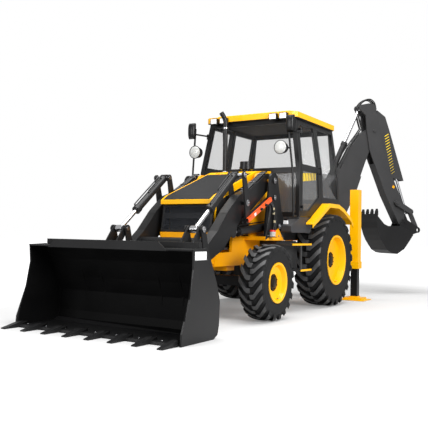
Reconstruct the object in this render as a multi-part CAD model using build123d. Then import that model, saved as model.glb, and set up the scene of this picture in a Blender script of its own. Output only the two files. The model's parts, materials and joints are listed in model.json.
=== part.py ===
"""Backhoe loader with a self-levelling front loader and a side-shift backhoe.

Machine frame while modelling: rear axle on y = 0, forward is -Y, +X is the machine's left,
floor at z = 0, millimetres. Export moves the model so that its box stands centred on the origin.
"""
from build123d import *
import math
import os

# Place of the exported origin in the machine frame
ORIGIN_X = 135.0
ORIGIN_Y = -655.0

# Wheels
WHEELBASE = 2180.0
REAR_RADIUS = 705.0
REAR_WIDTH = 430.0
REAR_X = 750.0
REAR_RIM_R = 384.0
FRONT_RADIUS = 478.0
FRONT_WIDTH = 325.0
FRONT_X = 880.0
FRONT_RIM_R = 257.0
KINGPIN_X = 680.0
KINGPIN_R = 22.0

# Clearances
PIN_FIT = 0.5
SLIDE_FIT = 0.5
SEAM = 6.0

# Loader arms and their parallel linkage, (forward, up) in the side view
ARM_X = 545.0
ARM_HALF = 60.0
ARM_PIVOT = (1660.0, 1800.0)
LEVER_PIVOT = (2366.0, 1468.0)
TIP_PIVOT = (3256.0, 776.0)
BUCKET_PIVOT = (3600.0, 330.0)
LEVER_FOOT = (-8.0, -226.0)
LEVER_HEAD = (89.0, 344.0)
LIFT_BASE = (1500.0, 1190.0)
LIFT_EYE = (2560.0, 1090.0)
LOADER_PIN_R = 25.0
LIFT_BARREL_R = 55.0
LIFT_ROD_R = 30.0
TILT_BARREL_R = 48.0
TILT_ROD_R = 25.0

# Loader bucket
BUCKET_HALF = 1132.5
BUCKET_SHEET = 16.0
BUCKET_SIDE = 20.0
TOOTH_COUNT = 8
TOOTH_REACH = 235.0
TOOTH_SPAN = 2 * BUCKET_HALF - 155.0

# Frame, engine and hood
RAIL_X = 360.0
RAIL_PLATE = 40.0
HOOD_HALF = 385.0
HOOD_SHEET = 18.0
HOOD_REAR = 1640.0
HOOD_TOP = 1925.0
HOOD_HINGE_R = 16.0
BONNET_LUG = (194.0, 218.0)
COWL_LUGS = ((178.0, 190.0), (222.0, 234.0))
BONNET_NOTCHES = ((172.0, 194.0), (218.0, 240.0))
HOOD_FRONT = 2743.0
ENGINE_SIZE = (500.0, 790.0, 580.0)
FLOOR_Z = 1060.0
TOW_PIN_R = 17.0

# Cab, widths are half widths of the outer skin at three heights
CAB_SILL = (858.0, 1330.0)
CAB_BELT = (828.0, 2020.0)
CAB_EAVES = (712.0, 2760.0)
CAB_WALL = 45.0
CAB_GLASS = 6.0
DOOR_WALL = 38.0
CAB_FRONT_SILL = 1200.0
CAB_FRONT_EAVES = 1050.0
CAB_REAR = -360.0
PILLAR_B = 380.0

# Stabilisers
LEG_X = 840.0
LEG_Y = 1150.0
TUBE_SIZE = 150.0
TUBE_WALL = 14.0
TUBE_FOOT = 530.0
TUBE_HEAD = 1860.0
LEG_SIZE = 114.0
PAD_SIZE = (440.0, 400.0)
PAD_THICK = 45.0
FOOT_AIR = 3.0

# Backhoe, (reach, up) in the plane of its boom; reach is measured from the kingpost
KINGPOST_Y = 1500.0
SWING_DEG = 36.0
DIPPER_PIVOT = (1149.0, 3056.0)
HOE_PIVOT = (1844.0, 1364.0)
HOE_HALF = 250.0
BOOM_HALF = 95.0
HOE_PIN_R = 30.0
CARRIAGE_HALF = 250.0

# Backhoe places, (reach, up)
BOOM_FOOT = (250.0, 560.0)
BOOM_RAM_BASE = (150.0, 880.0)
BOOM_RAM_EYE = (190.0, 1780.0)
DIPPER_RAM_BASE = (179.0, 2010.0)
DIPPER_RAM_EYE = (877.0, 3468.0)
HOE_RAM_BASE = (1330.0, 3290.0)
ROCKER_PIVOT = (1640.0, 1720.0)
ROCKER_HEAD = (1960.0, 1560.0)
HOE_LINK_EYE = (2135.0, 1217.0)
DIPPER_OUT = 92.0
HOE_RAM_R = 50.0
HOE_ROD_R = 28.0

# Wheels: (place name, centre x, centre y, radius, width, rim radius, hub radius, disc depth)
WHEEL_TABLE = (
    ("front", FRONT_X, -WHEELBASE, FRONT_RADIUS, FRONT_WIDTH, FRONT_RIM_R, 110.0, 75.0),
    ("rear", REAR_X, 0.0, REAR_RADIUS, REAR_WIDTH, REAR_RIM_R, 122.0, 111.0),
)
# Treads: (lugs on each half and flat panels round, lug depth, bar thickness, sweep along the tread)
TREADS = {"front": (18, 28.0, 48.0, 62.0), "rear": (19, 38.0, 64.0, 84.0)}
LUG_BEND = 0.42
SHOULDER_DROP = 20.0
RIM_WALL = 12.0
FRONT_SPINDLE_END = 800.0
FRONT_SPINDLE_R = 28.0
REAR_SPINDLE_END = 690.0
REAR_SPINDLE_R = 60.0
SPINDLES = {"front": (FRONT_SPINDLE_END, FRONT_SPINDLE_R), "rear": (REAR_SPINDLE_END, REAR_SPINDLE_R)}
BEAD_LIP = 22.0

# Doors and quarter windows in the side view, (forward, up), and the doors' hinges
DOOR_OUTLINE = ((1140, 1345), (812, 1345), (PILLAR_B + 15, 1556), (PILLAR_B + 15, 2735), (996, 2735))
DOOR_UPPER = ((1012, 2090), (PILLAR_B + 70, 2090), (PILLAR_B + 70, 2680), (950, 2680))
DOOR_LOWER = ((1076, 1430), (850, 1430), (PILLAR_B + 90, 1640), (PILLAR_B + 90, 2000), (1018, 2000))
QUARTER = ((PILLAR_B - 70, 1650), (-290, 1650), (-290, 2690), (PILLAR_B - 70, 2690))
DOOR_HINGE_LOW = (885.0, -1140.0, 1345.0)
DOOR_HINGE_HIGH = (775.0, -996.0, 2735.0)
DOOR_HINGES = ((1450.0, 852.0), (2570.0, 742.0))
HINGE_AIR = 5.0

LEFT_RIGHT = (1, -1)
made = {}


def keep(name, shape):
    """Store one named piece."""
    made[name] = shape


def outline(points):
    """Flat face in the sketch plane through straight corners."""
    return make_face(Polyline(*points, close=True))


def belt(a, b, ra, rb):
    """Flat face around two circles and the straight sides that touch both."""
    dx = b[0] - a[0]
    dy = b[1] - a[1]
    span = math.hypot(dx, dy)
    base = math.atan2(dy, dx)
    turn = math.acos(max(-1.0, min(1.0, (ra - rb) / span)))
    ends = []
    for centre, radius, sign in ((a, ra, 1), (b, rb, 1), (b, rb, -1), (a, ra, -1)):
        angle = base + sign * turn
        ends.append((centre[0] + radius * math.cos(angle), centre[1] + radius * math.sin(angle)))
    face = outline(ends)
    face += Pos(a[0], a[1]) * Circle(ra)
    face += Pos(b[0], b[1]) * Circle(rb)
    return face


def chain(stations):
    """Flat face of a link that swells and narrows along stations of (h, v, radius)."""
    face = None
    for first, second in zip(stations, stations[1:]):
        part = belt(first[:2], second[:2], first[2], second[2])
        face = part if face is None else face + part
    return face


def side_plane(x):
    """Plane seen from the machine's left: local (h, v) is (forward, up), normal is -X."""
    return Plane(origin=(x, 0, 0), x_dir=(0, -1, 0), z_dir=(-1, 0, 0))


def side(face, x_low, x_high):
    """Extrude a (forward, up) face from x_high down to x_low."""
    return extrude(side_plane(x_high) * face, amount=x_high - x_low)


def boom_side(face, x_low, x_high):
    """Extrude a (reach, up) face across the backhoe before it is swung."""
    plane = Plane(origin=(x_low, KINGPOST_Y, 0), x_dir=(0, 1, 0), z_dir=(1, 0, 0))
    return extrude(plane * face, amount=x_high - x_low)


def front(face, y_low, y_high):
    """Extrude an (x, up) face from y_high down to y_low."""
    plane = Plane(origin=(0, y_high, 0), x_dir=(1, 0, 0), z_dir=(0, -1, 0))
    return extrude(plane * face, amount=y_high - y_low)


def level(face, z_low, z_high):
    """Extrude an (x, y) face upwards."""
    return extrude(Plane.XY.offset(z_low) * face, amount=z_high - z_low)


def block(x_low, x_high, y_low, y_high, z_low, z_high):
    """Plain box between two corners."""
    size = (x_high - x_low, y_high - y_low, z_high - z_low)
    centre = ((x_low + x_high) / 2, (y_low + y_high) / 2, (z_low + z_high) / 2)
    return Pos(*centre) * Box(*size)


def rod(start, end, radius):
    """Round bar between two points."""
    a = Vector(*start)
    b = Vector(*end)
    plane = Plane(origin=a, z_dir=b - a)
    return plane * Cylinder(radius, (b - a).length, align=(Align.CENTER, Align.CENTER, Align.MIN))


def cross_pin(forward, up, radius, x_low, x_high):
    """Round pin along X at a (forward, up) place."""
    return rod((x_low, -forward, up), (x_high, -forward, up), radius)


def boom_pin(reach, up, radius, x_low, x_high):
    """Round pin along X at a (reach, up) place of the backhoe before it is swung."""
    return rod((x_low, KINGPOST_Y + reach, up), (x_high, KINGPOST_Y + reach, up), radius)


def both(shape):
    """Shape and its mirror image on the machine's right."""
    return shape + mirror(shape, about=Plane.YZ)


def apart(*shapes):
    """Touching solids of one piece, each cut by those before it so that none overlap."""
    solids = []
    before = None
    for shape in shapes:
        own = shape if before is None else shape - before
        solids += own.solids()
        before = shape if before is None else before + shape
    return Compound(solids)


def swung(shape):
    """Turn a backhoe piece from straight back to its parked swing."""
    return shape.rotate(Axis((0, KINGPOST_Y, 0), (0, 0, 1)), -SWING_DEG)


def toward(a, b, distance):
    """Point at a distance from a on the way to b, in a 2-D table."""
    span = math.hypot(b[0] - a[0], b[1] - a[1])
    return (a[0] + (b[0] - a[0]) * distance / span, a[1] + (b[1] - a[1]) * distance / span)


def plus(a, b):
    """Sum of two 2-D places."""
    return (a[0] + b[0], a[1] + b[1])


def ram(lift, base, eye, x, barrel_r, rod_r, barrel_end, rod_start, eye_r, eye_half, pin_r):
    """Barrel and rod of a cylinder in a side view.

    lift turns a 2-D place into a 3-D point, base and eye are its two pin centres,
    barrel_end and rod_start are distances from the base pin.
    """
    length = math.hypot(eye[0] - base[0], eye[1] - base[1])
    at = lambda d: lift(x, toward(base, eye, d))
    bore_r = pin_r + PIN_FIT
    barrel = rod(at(eye_r * 0.6), at(barrel_end), barrel_r)
    barrel += rod(at(barrel_end - 60), at(barrel_end), barrel_r + 8)
    barrel += rod(lift(x - eye_half, base), lift(x + eye_half, base), eye_r)
    barrel -= rod(at(eye_r + 25), at(barrel_end - 50), barrel_r - 10)
    barrel -= rod(at(barrel_end - 60), at(barrel_end + 10), rod_r + SLIDE_FIT)
    barrel -= rod(lift(x - barrel_r - 1, base), lift(x + barrel_r + 1, base), bore_r)
    piston = rod(at(rod_start), at(length), rod_r)
    piston += rod(lift(x - eye_half, eye), lift(x + eye_half, eye), eye_r)
    piston -= rod(lift(x - eye_half - 1, eye), lift(x + eye_half + 1, eye), bore_r)
    return barrel, piston


def front_point(x, place):
    """3-D point of a (forward, up) place."""
    return (x, -place[0], place[1])


def rear_point(x, place):
    """3-D point of a (reach, up) place on the backhoe before it is swung."""
    return (x, KINGPOST_Y + place[0], place[1])


def on_axle(face, x, y, z, sign):
    """Revolve an (axial, radial) face about a wheel's axle; axial grows outwards."""
    plane = Plane(origin=(x, y, z), x_dir=(sign, 0, 0), z_dir=(0, -sign, 0))
    return revolve(plane * face, Axis((x, y, z), (1, 0, 0)))


def outward(solid):
    """Same solid with its faces turned outwards."""
    return solid if solid.volume > 0 else Solid(Shell([-face for face in solid.faces()]))


def panels(rings):
    """Closed solid from a loop of equal-sized corner rings, each joined flat to the next."""
    faces = []
    for here, there in zip(rings, rings[1:] + rings[:1]):
        for first in range(len(here)):
            second = (first + 1) % len(here)
            corners = [here[first], here[second], there[second], there[first]]
            faces.append(Face(Wire.make_polygon([Vector(*corner) for corner in corners])))
    return outward(Solid(Shell(faces)))


def prism(stations):
    """Closed solid through four-cornered stations, capped flat at both ends."""
    faces = []
    for cap in (stations[0], stations[-1]):
        faces.append(Face(Wire.make_polygon([Vector(*corner) for corner in cap])))
    for here, there in zip(stations, stations[1:]):
        for first in range(4):
            second = (first + 1) % 4
            corners = [here[first], here[second], there[second], there[first]]
            faces.append(Face(Wire.make_polygon([Vector(*corner) for corner in corners])))
    return outward(Solid(Shell(faces)))


def lug(angle, hand, width, radius, depth, bar, sweep):
    """One bent tread bar from the middle of the tread to its shoulder."""
    reach = (sweep + bar) / 2
    top = math.sqrt(radius ** 2 - reach ** 2)
    low = radius - depth - 2 * SHOULDER_DROP
    half = width / 2
    stations = []
    for axial, along, height in ((0.0, -sweep / 2, top), (LUG_BEND * half, -sweep / 2 + 0.12 * sweep, top),
                                 (half - 2, sweep / 2, top - SHOULDER_DROP)):
        station = []
        for offset_along, level_r in ((-bar / 2, low), (bar / 2, low), (bar / 2, height), (-bar / 2, height)):
            t = along + offset_along
            y = level_r * math.sin(angle) + t * math.cos(angle)
            z = -level_r * math.cos(angle) + t * math.sin(angle)
            station.append((hand * axial, y, z))
        stations.append(station)
    return prism(stations)


def tyre_shape(place, radius, width, rim_r):
    """Tyre of a left wheel about its own centre: flat-panelled carcass and bent lugs."""
    count, depth, bar, sweep = TREADS[place]
    half = width / 2
    seat = half - BEAD_LIP - 2
    grow = 1 / math.cos(math.pi / count)
    well = (rim_r - BEAD_LIP) * grow
    crown = radius - depth - SHOULDER_DROP / 2
    profile = [(-seat, well), (-half, (rim_r + 70) * grow), (-half + 14, crown), (half - 14, crown),
               (half, (rim_r + 70) * grow), (seat, well)]
    rings = []
    for step in range(count):
        angle = math.radians(360 * step / count)
        rings.append([(axial, r * math.sin(angle), -r * math.cos(angle)) for axial, r in profile])
    bars = []
    for hand, shift in ((1, 0.5), (-1, 0.0)):
        for index in range(count):
            angle = math.radians(360 * (index + shift) / count)
            bars.append(lug(angle, hand, width, radius, depth, bar, sweep))
    return panels(rings) + bars


def rim_shape(x, y, radius, width, rim_r, hub_r, depth, sign):
    """Deep dish rim with its disc and hub."""
    half = width / 2
    seat = half - BEAD_LIP
    well = rim_r - BEAD_LIP
    inner = well - RIM_WALL
    disc = half - depth
    face = outline([
        (-half + 4, rim_r - 4), (-half + 4, inner), (disc - 14, inner), (disc - 30, hub_r + 60),
        (disc - 30, hub_r), (disc, hub_r), (disc + 4, hub_r + 64), (disc + 16, inner - 20),
        (half - 10, inner), (half - 4, inner + 8), (half - 4, rim_r - 4), (seat + 4, rim_r - 4),
        (seat + 4, well - PIN_FIT), (-seat - 4, well - PIN_FIT), (-seat - 4, rim_r - 4)])
    return on_axle(face, x, y, radius, sign)


def hub_shape(x, y, radius, hub_r, width, depth, start, sign):
    """Planetary hub that carries the disc, from the axle's end outwards."""
    disc = width / 2 - depth
    face = outline([
        (start, 0), (start, hub_r * 0.8), (disc - 60, hub_r * 0.8), (disc - 60, hub_r + 30),
        (disc - 30, hub_r + 30), (disc - 30, hub_r), (disc - 8, hub_r), (disc - 8, 0)])
    return on_axle(face, x, y, radius, sign)


def make_wheels():
    """Four wheels, each as tyre, rim and hub."""
    hub_start = {"front": KINGPIN_X + 62, "rear": REAR_X - 125}
    for place, x, y, radius, width, rim_r, hub_r, depth in WHEEL_TABLE:
        tyre = Pos(x, y, radius) * tyre_shape(place, radius, width, rim_r)
        keep(f"tyre_{place}_left", tyre)
        keep(f"tyre_{place}_right", mirror(tyre, about=Plane.YZ))
        for side_name, sign in (("left", 1), ("right", -1)):
            name = f"{place}_{side_name}"
            rim = rim_shape(sign * x, y, radius, width, rim_r, hub_r, depth, sign)
            hub = hub_shape(sign * x, y, radius, hub_r, width, depth, hub_start[place] - x, sign)
            spindle_end, spindle_r = SPINDLES[place]
            bore = rod((sign * (x - width), y, radius), (sign * (spindle_end + 5), y, radius),
                       spindle_r + PIN_FIT)
            keep(f"rim_{name}", rim + (hub - bore))


def loader_side():
    """Loader pieces on the machine's left arm; the right ones are mirror images."""
    inner = ARM_X - ARM_HALF
    outer = ARM_X + ARM_HALF
    pin = LOADER_PIN_R
    hole = pin + PIN_FIT
    arm = chain([(*ARM_PIVOT, 105), (2150, 1520, 130), (2366, 1440, 140), (2600, 1262, 140),
                 (2860, 1010, 130), (3256, 776, 76), (*BUCKET_PIVOT, 76)])
    knee = belt((2620, 1230), LIFT_EYE, 150, 62)
    body = side(arm + knee, inner, outer)
    slot = side(belt(LIFT_EYE, (2120, 1120), 78, 78) + Pos(*LIFT_EYE) * Circle(95),
                ARM_X - 42, ARM_X + 42)
    body -= slot
    for place, growth in ((ARM_PIVOT, 0), (LEVER_PIVOT, 0), (TIP_PIVOT, 0), (BUCKET_PIVOT, 5)):
        body -= cross_pin(*place, hole + growth, inner - 1, outer + 1)
    stub_in = cross_pin(*LIFT_EYE, pin, inner, ARM_X - 42)
    stub_out = cross_pin(*LIFT_EYE, pin, ARM_X + 42, outer)
    lever_foot = plus(LEVER_PIVOT, LEVER_FOOT)
    lever_head = plus(LEVER_PIVOT, LEVER_HEAD)
    lever_face = belt(LEVER_PIVOT, lever_foot, 62, 42) + belt(LEVER_PIVOT, lever_head, 62, 42)
    plate_in = side(belt(LEVER_PIVOT, lever_head, 62, 42), inner - 30, inner - 10)
    plate_out = side(lever_face, outer + 60, outer + 80)
    lever = plate_in + plate_out
    lever += cross_pin(*LEVER_PIVOT, pin, inner - 30, outer + 80)
    lever += cross_pin(*lever_foot, pin, outer + 12, outer + 80)
    lever -= cross_pin(*lever_head, hole, inner - 40, inner)
    lever -= cross_pin(*lever_head, hole, outer, outer + 90)
    link_rear = plus(ARM_PIVOT, LEVER_FOOT)
    link = side(belt(link_rear, lever_foot, 34, 34), outer + 12, outer + 48)
    link -= cross_pin(*link_rear, hole, outer, outer + 60)
    link -= cross_pin(*lever_foot, hole, outer, outer + 60)
    head_pin = cross_pin(*lever_head, pin, inner - 36, outer + 86)
    eye = plus(TIP_PIVOT, LEVER_HEAD)
    tilt_barrel, tilt_rod = ram(front_point, lever_head, eye, ARM_X, TILT_BARREL_R, TILT_ROD_R,
                                750, 300, 44, 44, LOADER_PIN_R)
    lift_barrel, lift_rod = ram(front_point, LIFT_BASE, LIFT_EYE, ARM_X, LIFT_BARREL_R,
                                LIFT_ROD_R, 880, 150, 50, 38, LOADER_PIN_R)
    tip = None
    for low in (inner - 60, outer + 40):
        plate = side(belt(TIP_PIVOT, eye, 58, 46), low, low + 20)
        plate -= cross_pin(*TIP_PIVOT, hole, low - 1, low + 21)
        plate -= cross_pin(*eye, hole, low - 1, low + 21)
        tip = plate if tip is None else tip + plate
    tip_pin = cross_pin(*TIP_PIVOT, pin, inner - 66, outer + 66)
    eye_pins = cross_pin(*eye, pin, inner - 66, ARM_X - 52) + cross_pin(*eye, pin, ARM_X + 52, outer + 66)
    bucket_eye = plus(BUCKET_PIVOT, LEVER_HEAD)
    plates = None
    for low in (inner - 30, outer + 10):
        plate = side(belt(eye, bucket_eye, 42, 42), low, low + 20)
        plate -= cross_pin(*eye, hole, low - 1, low + 21)
        plate -= cross_pin(*bucket_eye, hole, low - 1, low + 21)
        plates = plate if plates is None else plates + plate
    web_a = toward(eye, bucket_eye, 300)
    web_b = toward(eye, bucket_eye, 520)
    lean = (0.792, 0.611)
    web = outline([plus(web_a, (lean[0] * 20, lean[1] * 20)), plus(web_b, (lean[0] * 20, lean[1] * 20)),
                   plus(web_b, (lean[0] * 38, lean[1] * 38)), plus(web_a, (lean[0] * 38, lean[1] * 38))])
    web_plate = side(web, inner - 30, outer + 30)
    hinge_pin = cross_pin(*BUCKET_PIVOT, pin + 5, inner - 96, outer + 96)
    return {
        "loader_arms": body + stub_in + stub_out, "level_levers": lever,
        "levelling_links": link, "ram_base_pins": head_pin, "tilt_barrels": tilt_barrel,
        "tilt_rods": tilt_rod, "lift_barrels": lift_barrel, "lift_rods": lift_rod,
        "tipping_levers": tip, "tipping_lever_pins": tip_pin, "ram_eye_pins": eye_pins,
        "tipping_links": plates + web_plate, "bucket_hinge_pins": hinge_pin,
    }


def bucket_ears():
    """Ears on the bucket's back at one arm, with the link's pin."""
    inner = ARM_X - ARM_HALF
    outer = ARM_X + ARM_HALF
    bucket_eye = plus(BUCKET_PIVOT, LEVER_HEAD)
    face = outline([(3560, 270), (3660, 240), (3760, 160), (3760, 400), (3830, 560), (3900, 720),
                    (3860, 760), (3660, 720), (3545, 380)])
    face += Pos(*BUCKET_PIVOT) * Circle(62) + Pos(*bucket_eye) * Circle(50)
    ears = None
    for low in (inner - 92, outer + 70):
        ear = side(face, low, low + 22)
        ear -= cross_pin(*BUCKET_PIVOT, LOADER_PIN_R + 5 + PIN_FIT, low - 1, low + 23)
        ears = ear if ears is None else ears + ear
    for x_low, x_high in ((inner - 92, inner - 4), (outer + 4, outer + 92)):
        ears += cross_pin(*bucket_eye, LOADER_PIN_R, x_low, x_high)
    return ears


def make_bucket():
    """Open front bucket with side plates, cutting edge, teeth, top beam and spill guard."""
    back = [(4410, 0), (3850, 0), (3775, 40), (3749, 137), (3737, 383), (3800, 560), (3905, 770),
            (4000, 920)]
    outer_face = outline(back + [(4020, 920), (4030, 906)] + [(3925, 758), (3818, 548), (3755, 380),
                         (3766, 142), (3788, 54), (3856, BUCKET_SHEET), (4410, BUCKET_SHEET)])
    sheet = side(outer_face, -BUCKET_HALF + BUCKET_SIDE, BUCKET_HALF - BUCKET_SIDE)
    cheek = outline([(4430, 0), (3850, 0), (3775, 40), (3749, 137), (3737, 383), (3800, 560),
                     (3905, 770), (4000, 930), (4250, 920), (4234, 721), (4294, 436), (4372, 234),
                     (4418, 117)])
    sides = side(cheek, BUCKET_HALF - BUCKET_SIDE, BUCKET_HALF)
    sides += side(cheek, -BUCKET_HALF, -BUCKET_HALF + BUCKET_SIDE)
    beam = side(outline([(3975, 890), (4045, 890), (4045, 985), (3990, 985)]), -BUCKET_HALF + 72, BUCKET_HALF - 72)
    edge = side(outline([(4330, 0), (4330, 28), (4440, 28), (4475, 0)]), -BUCKET_HALF + 40,
                BUCKET_HALF - 40)
    edge -= side(outline([(4300, -5), (4300, BUCKET_SHEET), (4410, BUCKET_SHEET), (4410, -5)]),
                 -BUCKET_HALF, BUCKET_HALF)
    teeth = []
    pitch = TOOTH_SPAN / (TOOTH_COUNT - 1)
    tip_u = 4430 + TOOTH_REACH
    tooth = outline([(4340, 28), (4340, 60), (4440, 62), (4520, 44), (tip_u, 12), (tip_u, 0),
                     (4475, 0), (4440, 28)])
    for index in range(TOOTH_COUNT):
        x = -TOOTH_SPAN / 2 + index * pitch
        teeth.append(side(tooth, x - 32, x + 32))
    wide = BUCKET_HALF - 309
    narrow = wide - 110
    guard_face = outline([(-wide, 895), (wide, 895), (narrow, 987), (-narrow, 987)])
    guard = front(guard_face, -4262, -4250)
    roof = side(outline([(3990, 904), (3990, 920), (4262, 920), (4262, 904)]), -BUCKET_HALF + 10,
                BUCKET_HALF - 10)
    keep("loader_bucket", sheet + sides + beam + roof + guard + both(bucket_ears()) + edge + teeth)


def make_loader():
    """Arms, linkage and rams on both sides, joined by the arms' cross tube."""
    pieces = loader_side()
    for name, shape in pieces.items():
        if name != "loader_arms":
            keep(name, both(shape))
    tube = cross_pin(2960, 960, 62, -(ARM_X - ARM_HALF), ARM_X - ARM_HALF)
    keep("loader_arms", both(pieces["loader_arms"]) + tube)
    make_bucket()


def make_towers():
    """Loader towers: an inner and an outer plate each side on a base box, with three pins."""
    inner = ARM_X - ARM_HALF
    outer = ARM_X + ARM_HALF
    face = outline([(1330, 998), (1890, 998), (1876, 1230), (1768, 1830), (1552, 1850),
                    (1420, 1420), (1330, 1230)]) + Pos(*ARM_PIVOT) * Circle(112)
    tower = side(face, inner - 45, inner - 10) + side(face, outer + 60, outer + 90)
    tower += block(RAIL_X + 20, outer + 90, -1890, -1330, 998, 1050)
    tower += cross_pin(*ARM_PIVOT, LOADER_PIN_R, inner - 45, outer + 104)
    tower += cross_pin(*LIFT_BASE, LOADER_PIN_R, inner - 45, outer + 104)
    tower += cross_pin(*plus(ARM_PIVOT, LEVER_FOOT), LOADER_PIN_R, outer + 7, outer + 104)
    return both(tower)


def make_frame():
    """Frame rails, axle support, rear crossbeams, engine and axles."""
    rail = outline([(2640, 665), (2640, 800), (WHEELBASE + 341, 836), (WHEELBASE + 41, 844),
                    (WHEELBASE + 21, 1050), (1230, 1050),
                    (1210, 950), (-1075, 950), (-1075, 600), (1700, 600), (1872, 665)])
    axle_face = outline([(0, 0), (REAR_SPINDLE_END, 0), (REAR_SPINDLE_END, REAR_SPINDLE_R),
                         (620, REAR_SPINDLE_R), (620, 100), (330, 118), (210, 200), (0, 215)])
    axle = revolve(Plane(origin=(0, 0, REAR_RADIUS), x_dir=(1, 0, 0), z_dir=(0, -1, 0)) * axle_face,
                   Axis((0, 0, REAR_RADIUS), (1, 0, 0)))
    axle = both(axle)
    frame = side(rail, RAIL_X - RAIL_PLATE / 2, RAIL_X + RAIL_PLATE / 2)
    frame = both(frame)
    inside = RAIL_X - RAIL_PLATE / 2
    for forward_low, forward_high, z_low, z_high in (
            (2540, 2640, 680, 780), (WHEELBASE - 100, WHEELBASE + 100, 600, 720), (1300, 1400, 640, 900),
            (420, 520, 640, 900), (-1075, -1000, 640, 940)):
        frame += block(-inside, inside, -forward_high, -forward_low, z_low, z_high)
    for forward in (1120, -260):
        for x in (-RAIL_X, RAIL_X):
            frame += block(x - 20, x + 20, -forward - 40, -forward + 40, 940, FLOOR_Z - 60)
    nose = block(-371, 371, -2763, -2640, 700, 1088) - block(-120, 120, -2770, -2700, 760, 860)
    nose -= rod((0, -2735, 600), (0, -2735, 1200), TOW_PIN_R)
    rear = block(-765, 765, 1075, 1215, 560, 680) + block(-765, 765, 1075, 1215, 980, 1100)
    rear += both(block(RAIL_X - 20, RAIL_X + 80, 1075, 1205, 600, 1000))
    keep("main_frame", apart(frame - axle, nose, rear, make_towers() - axle))
    keep("rear_axle", axle)
    width, length, height = ENGINE_SIZE
    engine = block(-width / 2, width / 2, -2440, -2440 + length, 900, 900 + height)
    for forward in (2340, 1760):
        engine += block(-inside, inside, -forward, -forward + 80, 870, 900)
    engine += block(-330, 330, -2600, -2500, 1050, 1425)
    engine += both(block(270, 338, -2620, -2520, 780, 1100))
    keep("engine_block", engine)
    beam_y = -WHEELBASE
    z = FRONT_RADIUS
    beam = block(-562, 562, beam_y - 60, beam_y + 60, z - 62, z + 62)
    beam += block(-80, 80, beam_y - 80, beam_y + 80, z + 62, 600)
    beam += Pos(0, beam_y - 20, z) * Sphere(130) & block(-130, 130, beam_y - 160, beam_y + 60, z - 130, 600)
    for sign in LEFT_RIGHT:
        kx = sign * KINGPIN_X
        for z_low in (z - 84, z + 46):
            cheek = block(kx - 50, kx + 40, beam_y - 48, beam_y + 48, z_low, z_low + 38) if sign > 0 \
                else block(kx - 40, kx + 50, beam_y - 48, beam_y + 48, z_low, z_low + 38)
            arm_low, arm_high = sorted((sign * 520, kx))
            beam += cheek + block(arm_low, arm_high, beam_y - 48, beam_y + 48, z_low, z_low + 38)
        beam += rod((kx, beam_y, z - 84), (kx, beam_y, z + 84), KINGPIN_R)
    tube_y = beam_y + 150
    beam += rod((-230, tube_y, z - 20), (230, tube_y, z - 20), 34)
    beam += block(-50, 50, beam_y + 50, tube_y, z - 45, z + 5)
    beam -= rod((-240, tube_y, z - 20), (240, tube_y, z - 20), 14 + SLIDE_FIT)
    keep("front_axle_beam", beam)
    track_rod = rod((-640, tube_y, z - 20), (640, tube_y, z - 20), 14)
    for x in (-650, 650):
        track_rod += rod((x, tube_y, z - 38), (x, tube_y, z - 2), 24)
    keep("steering_rod", track_rod)
    for name, sign in (("left", 1), ("right", -1)):
        kx = sign * KINGPIN_X
        body = rod((kx, beam_y, z - 38), (kx, beam_y, z + 38), 52)
        body += rod((kx, beam_y, z), (sign * (KINGPIN_X + 57), beam_y, z), 36)
        body += rod((kx, beam_y, z), (sign * (FRONT_SPINDLE_END), beam_y, z), FRONT_SPINDLE_R)
        body += level(belt((kx, beam_y), (kx - sign * 30, tube_y), 34, 24), z + 4, z + 26)
        body -= rod((kx, beam_y, z - 60), (kx, beam_y, z + 60), KINGPIN_R + PIN_FIT)
        keep(f"knuckle_{name}", body)


def turned(sign, low, high, place, radius):
    """Round bar across the machine between two distances from its middle plane, on one side."""
    return rod((sign * low, *place), (sign * high, *place), radius)


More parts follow.
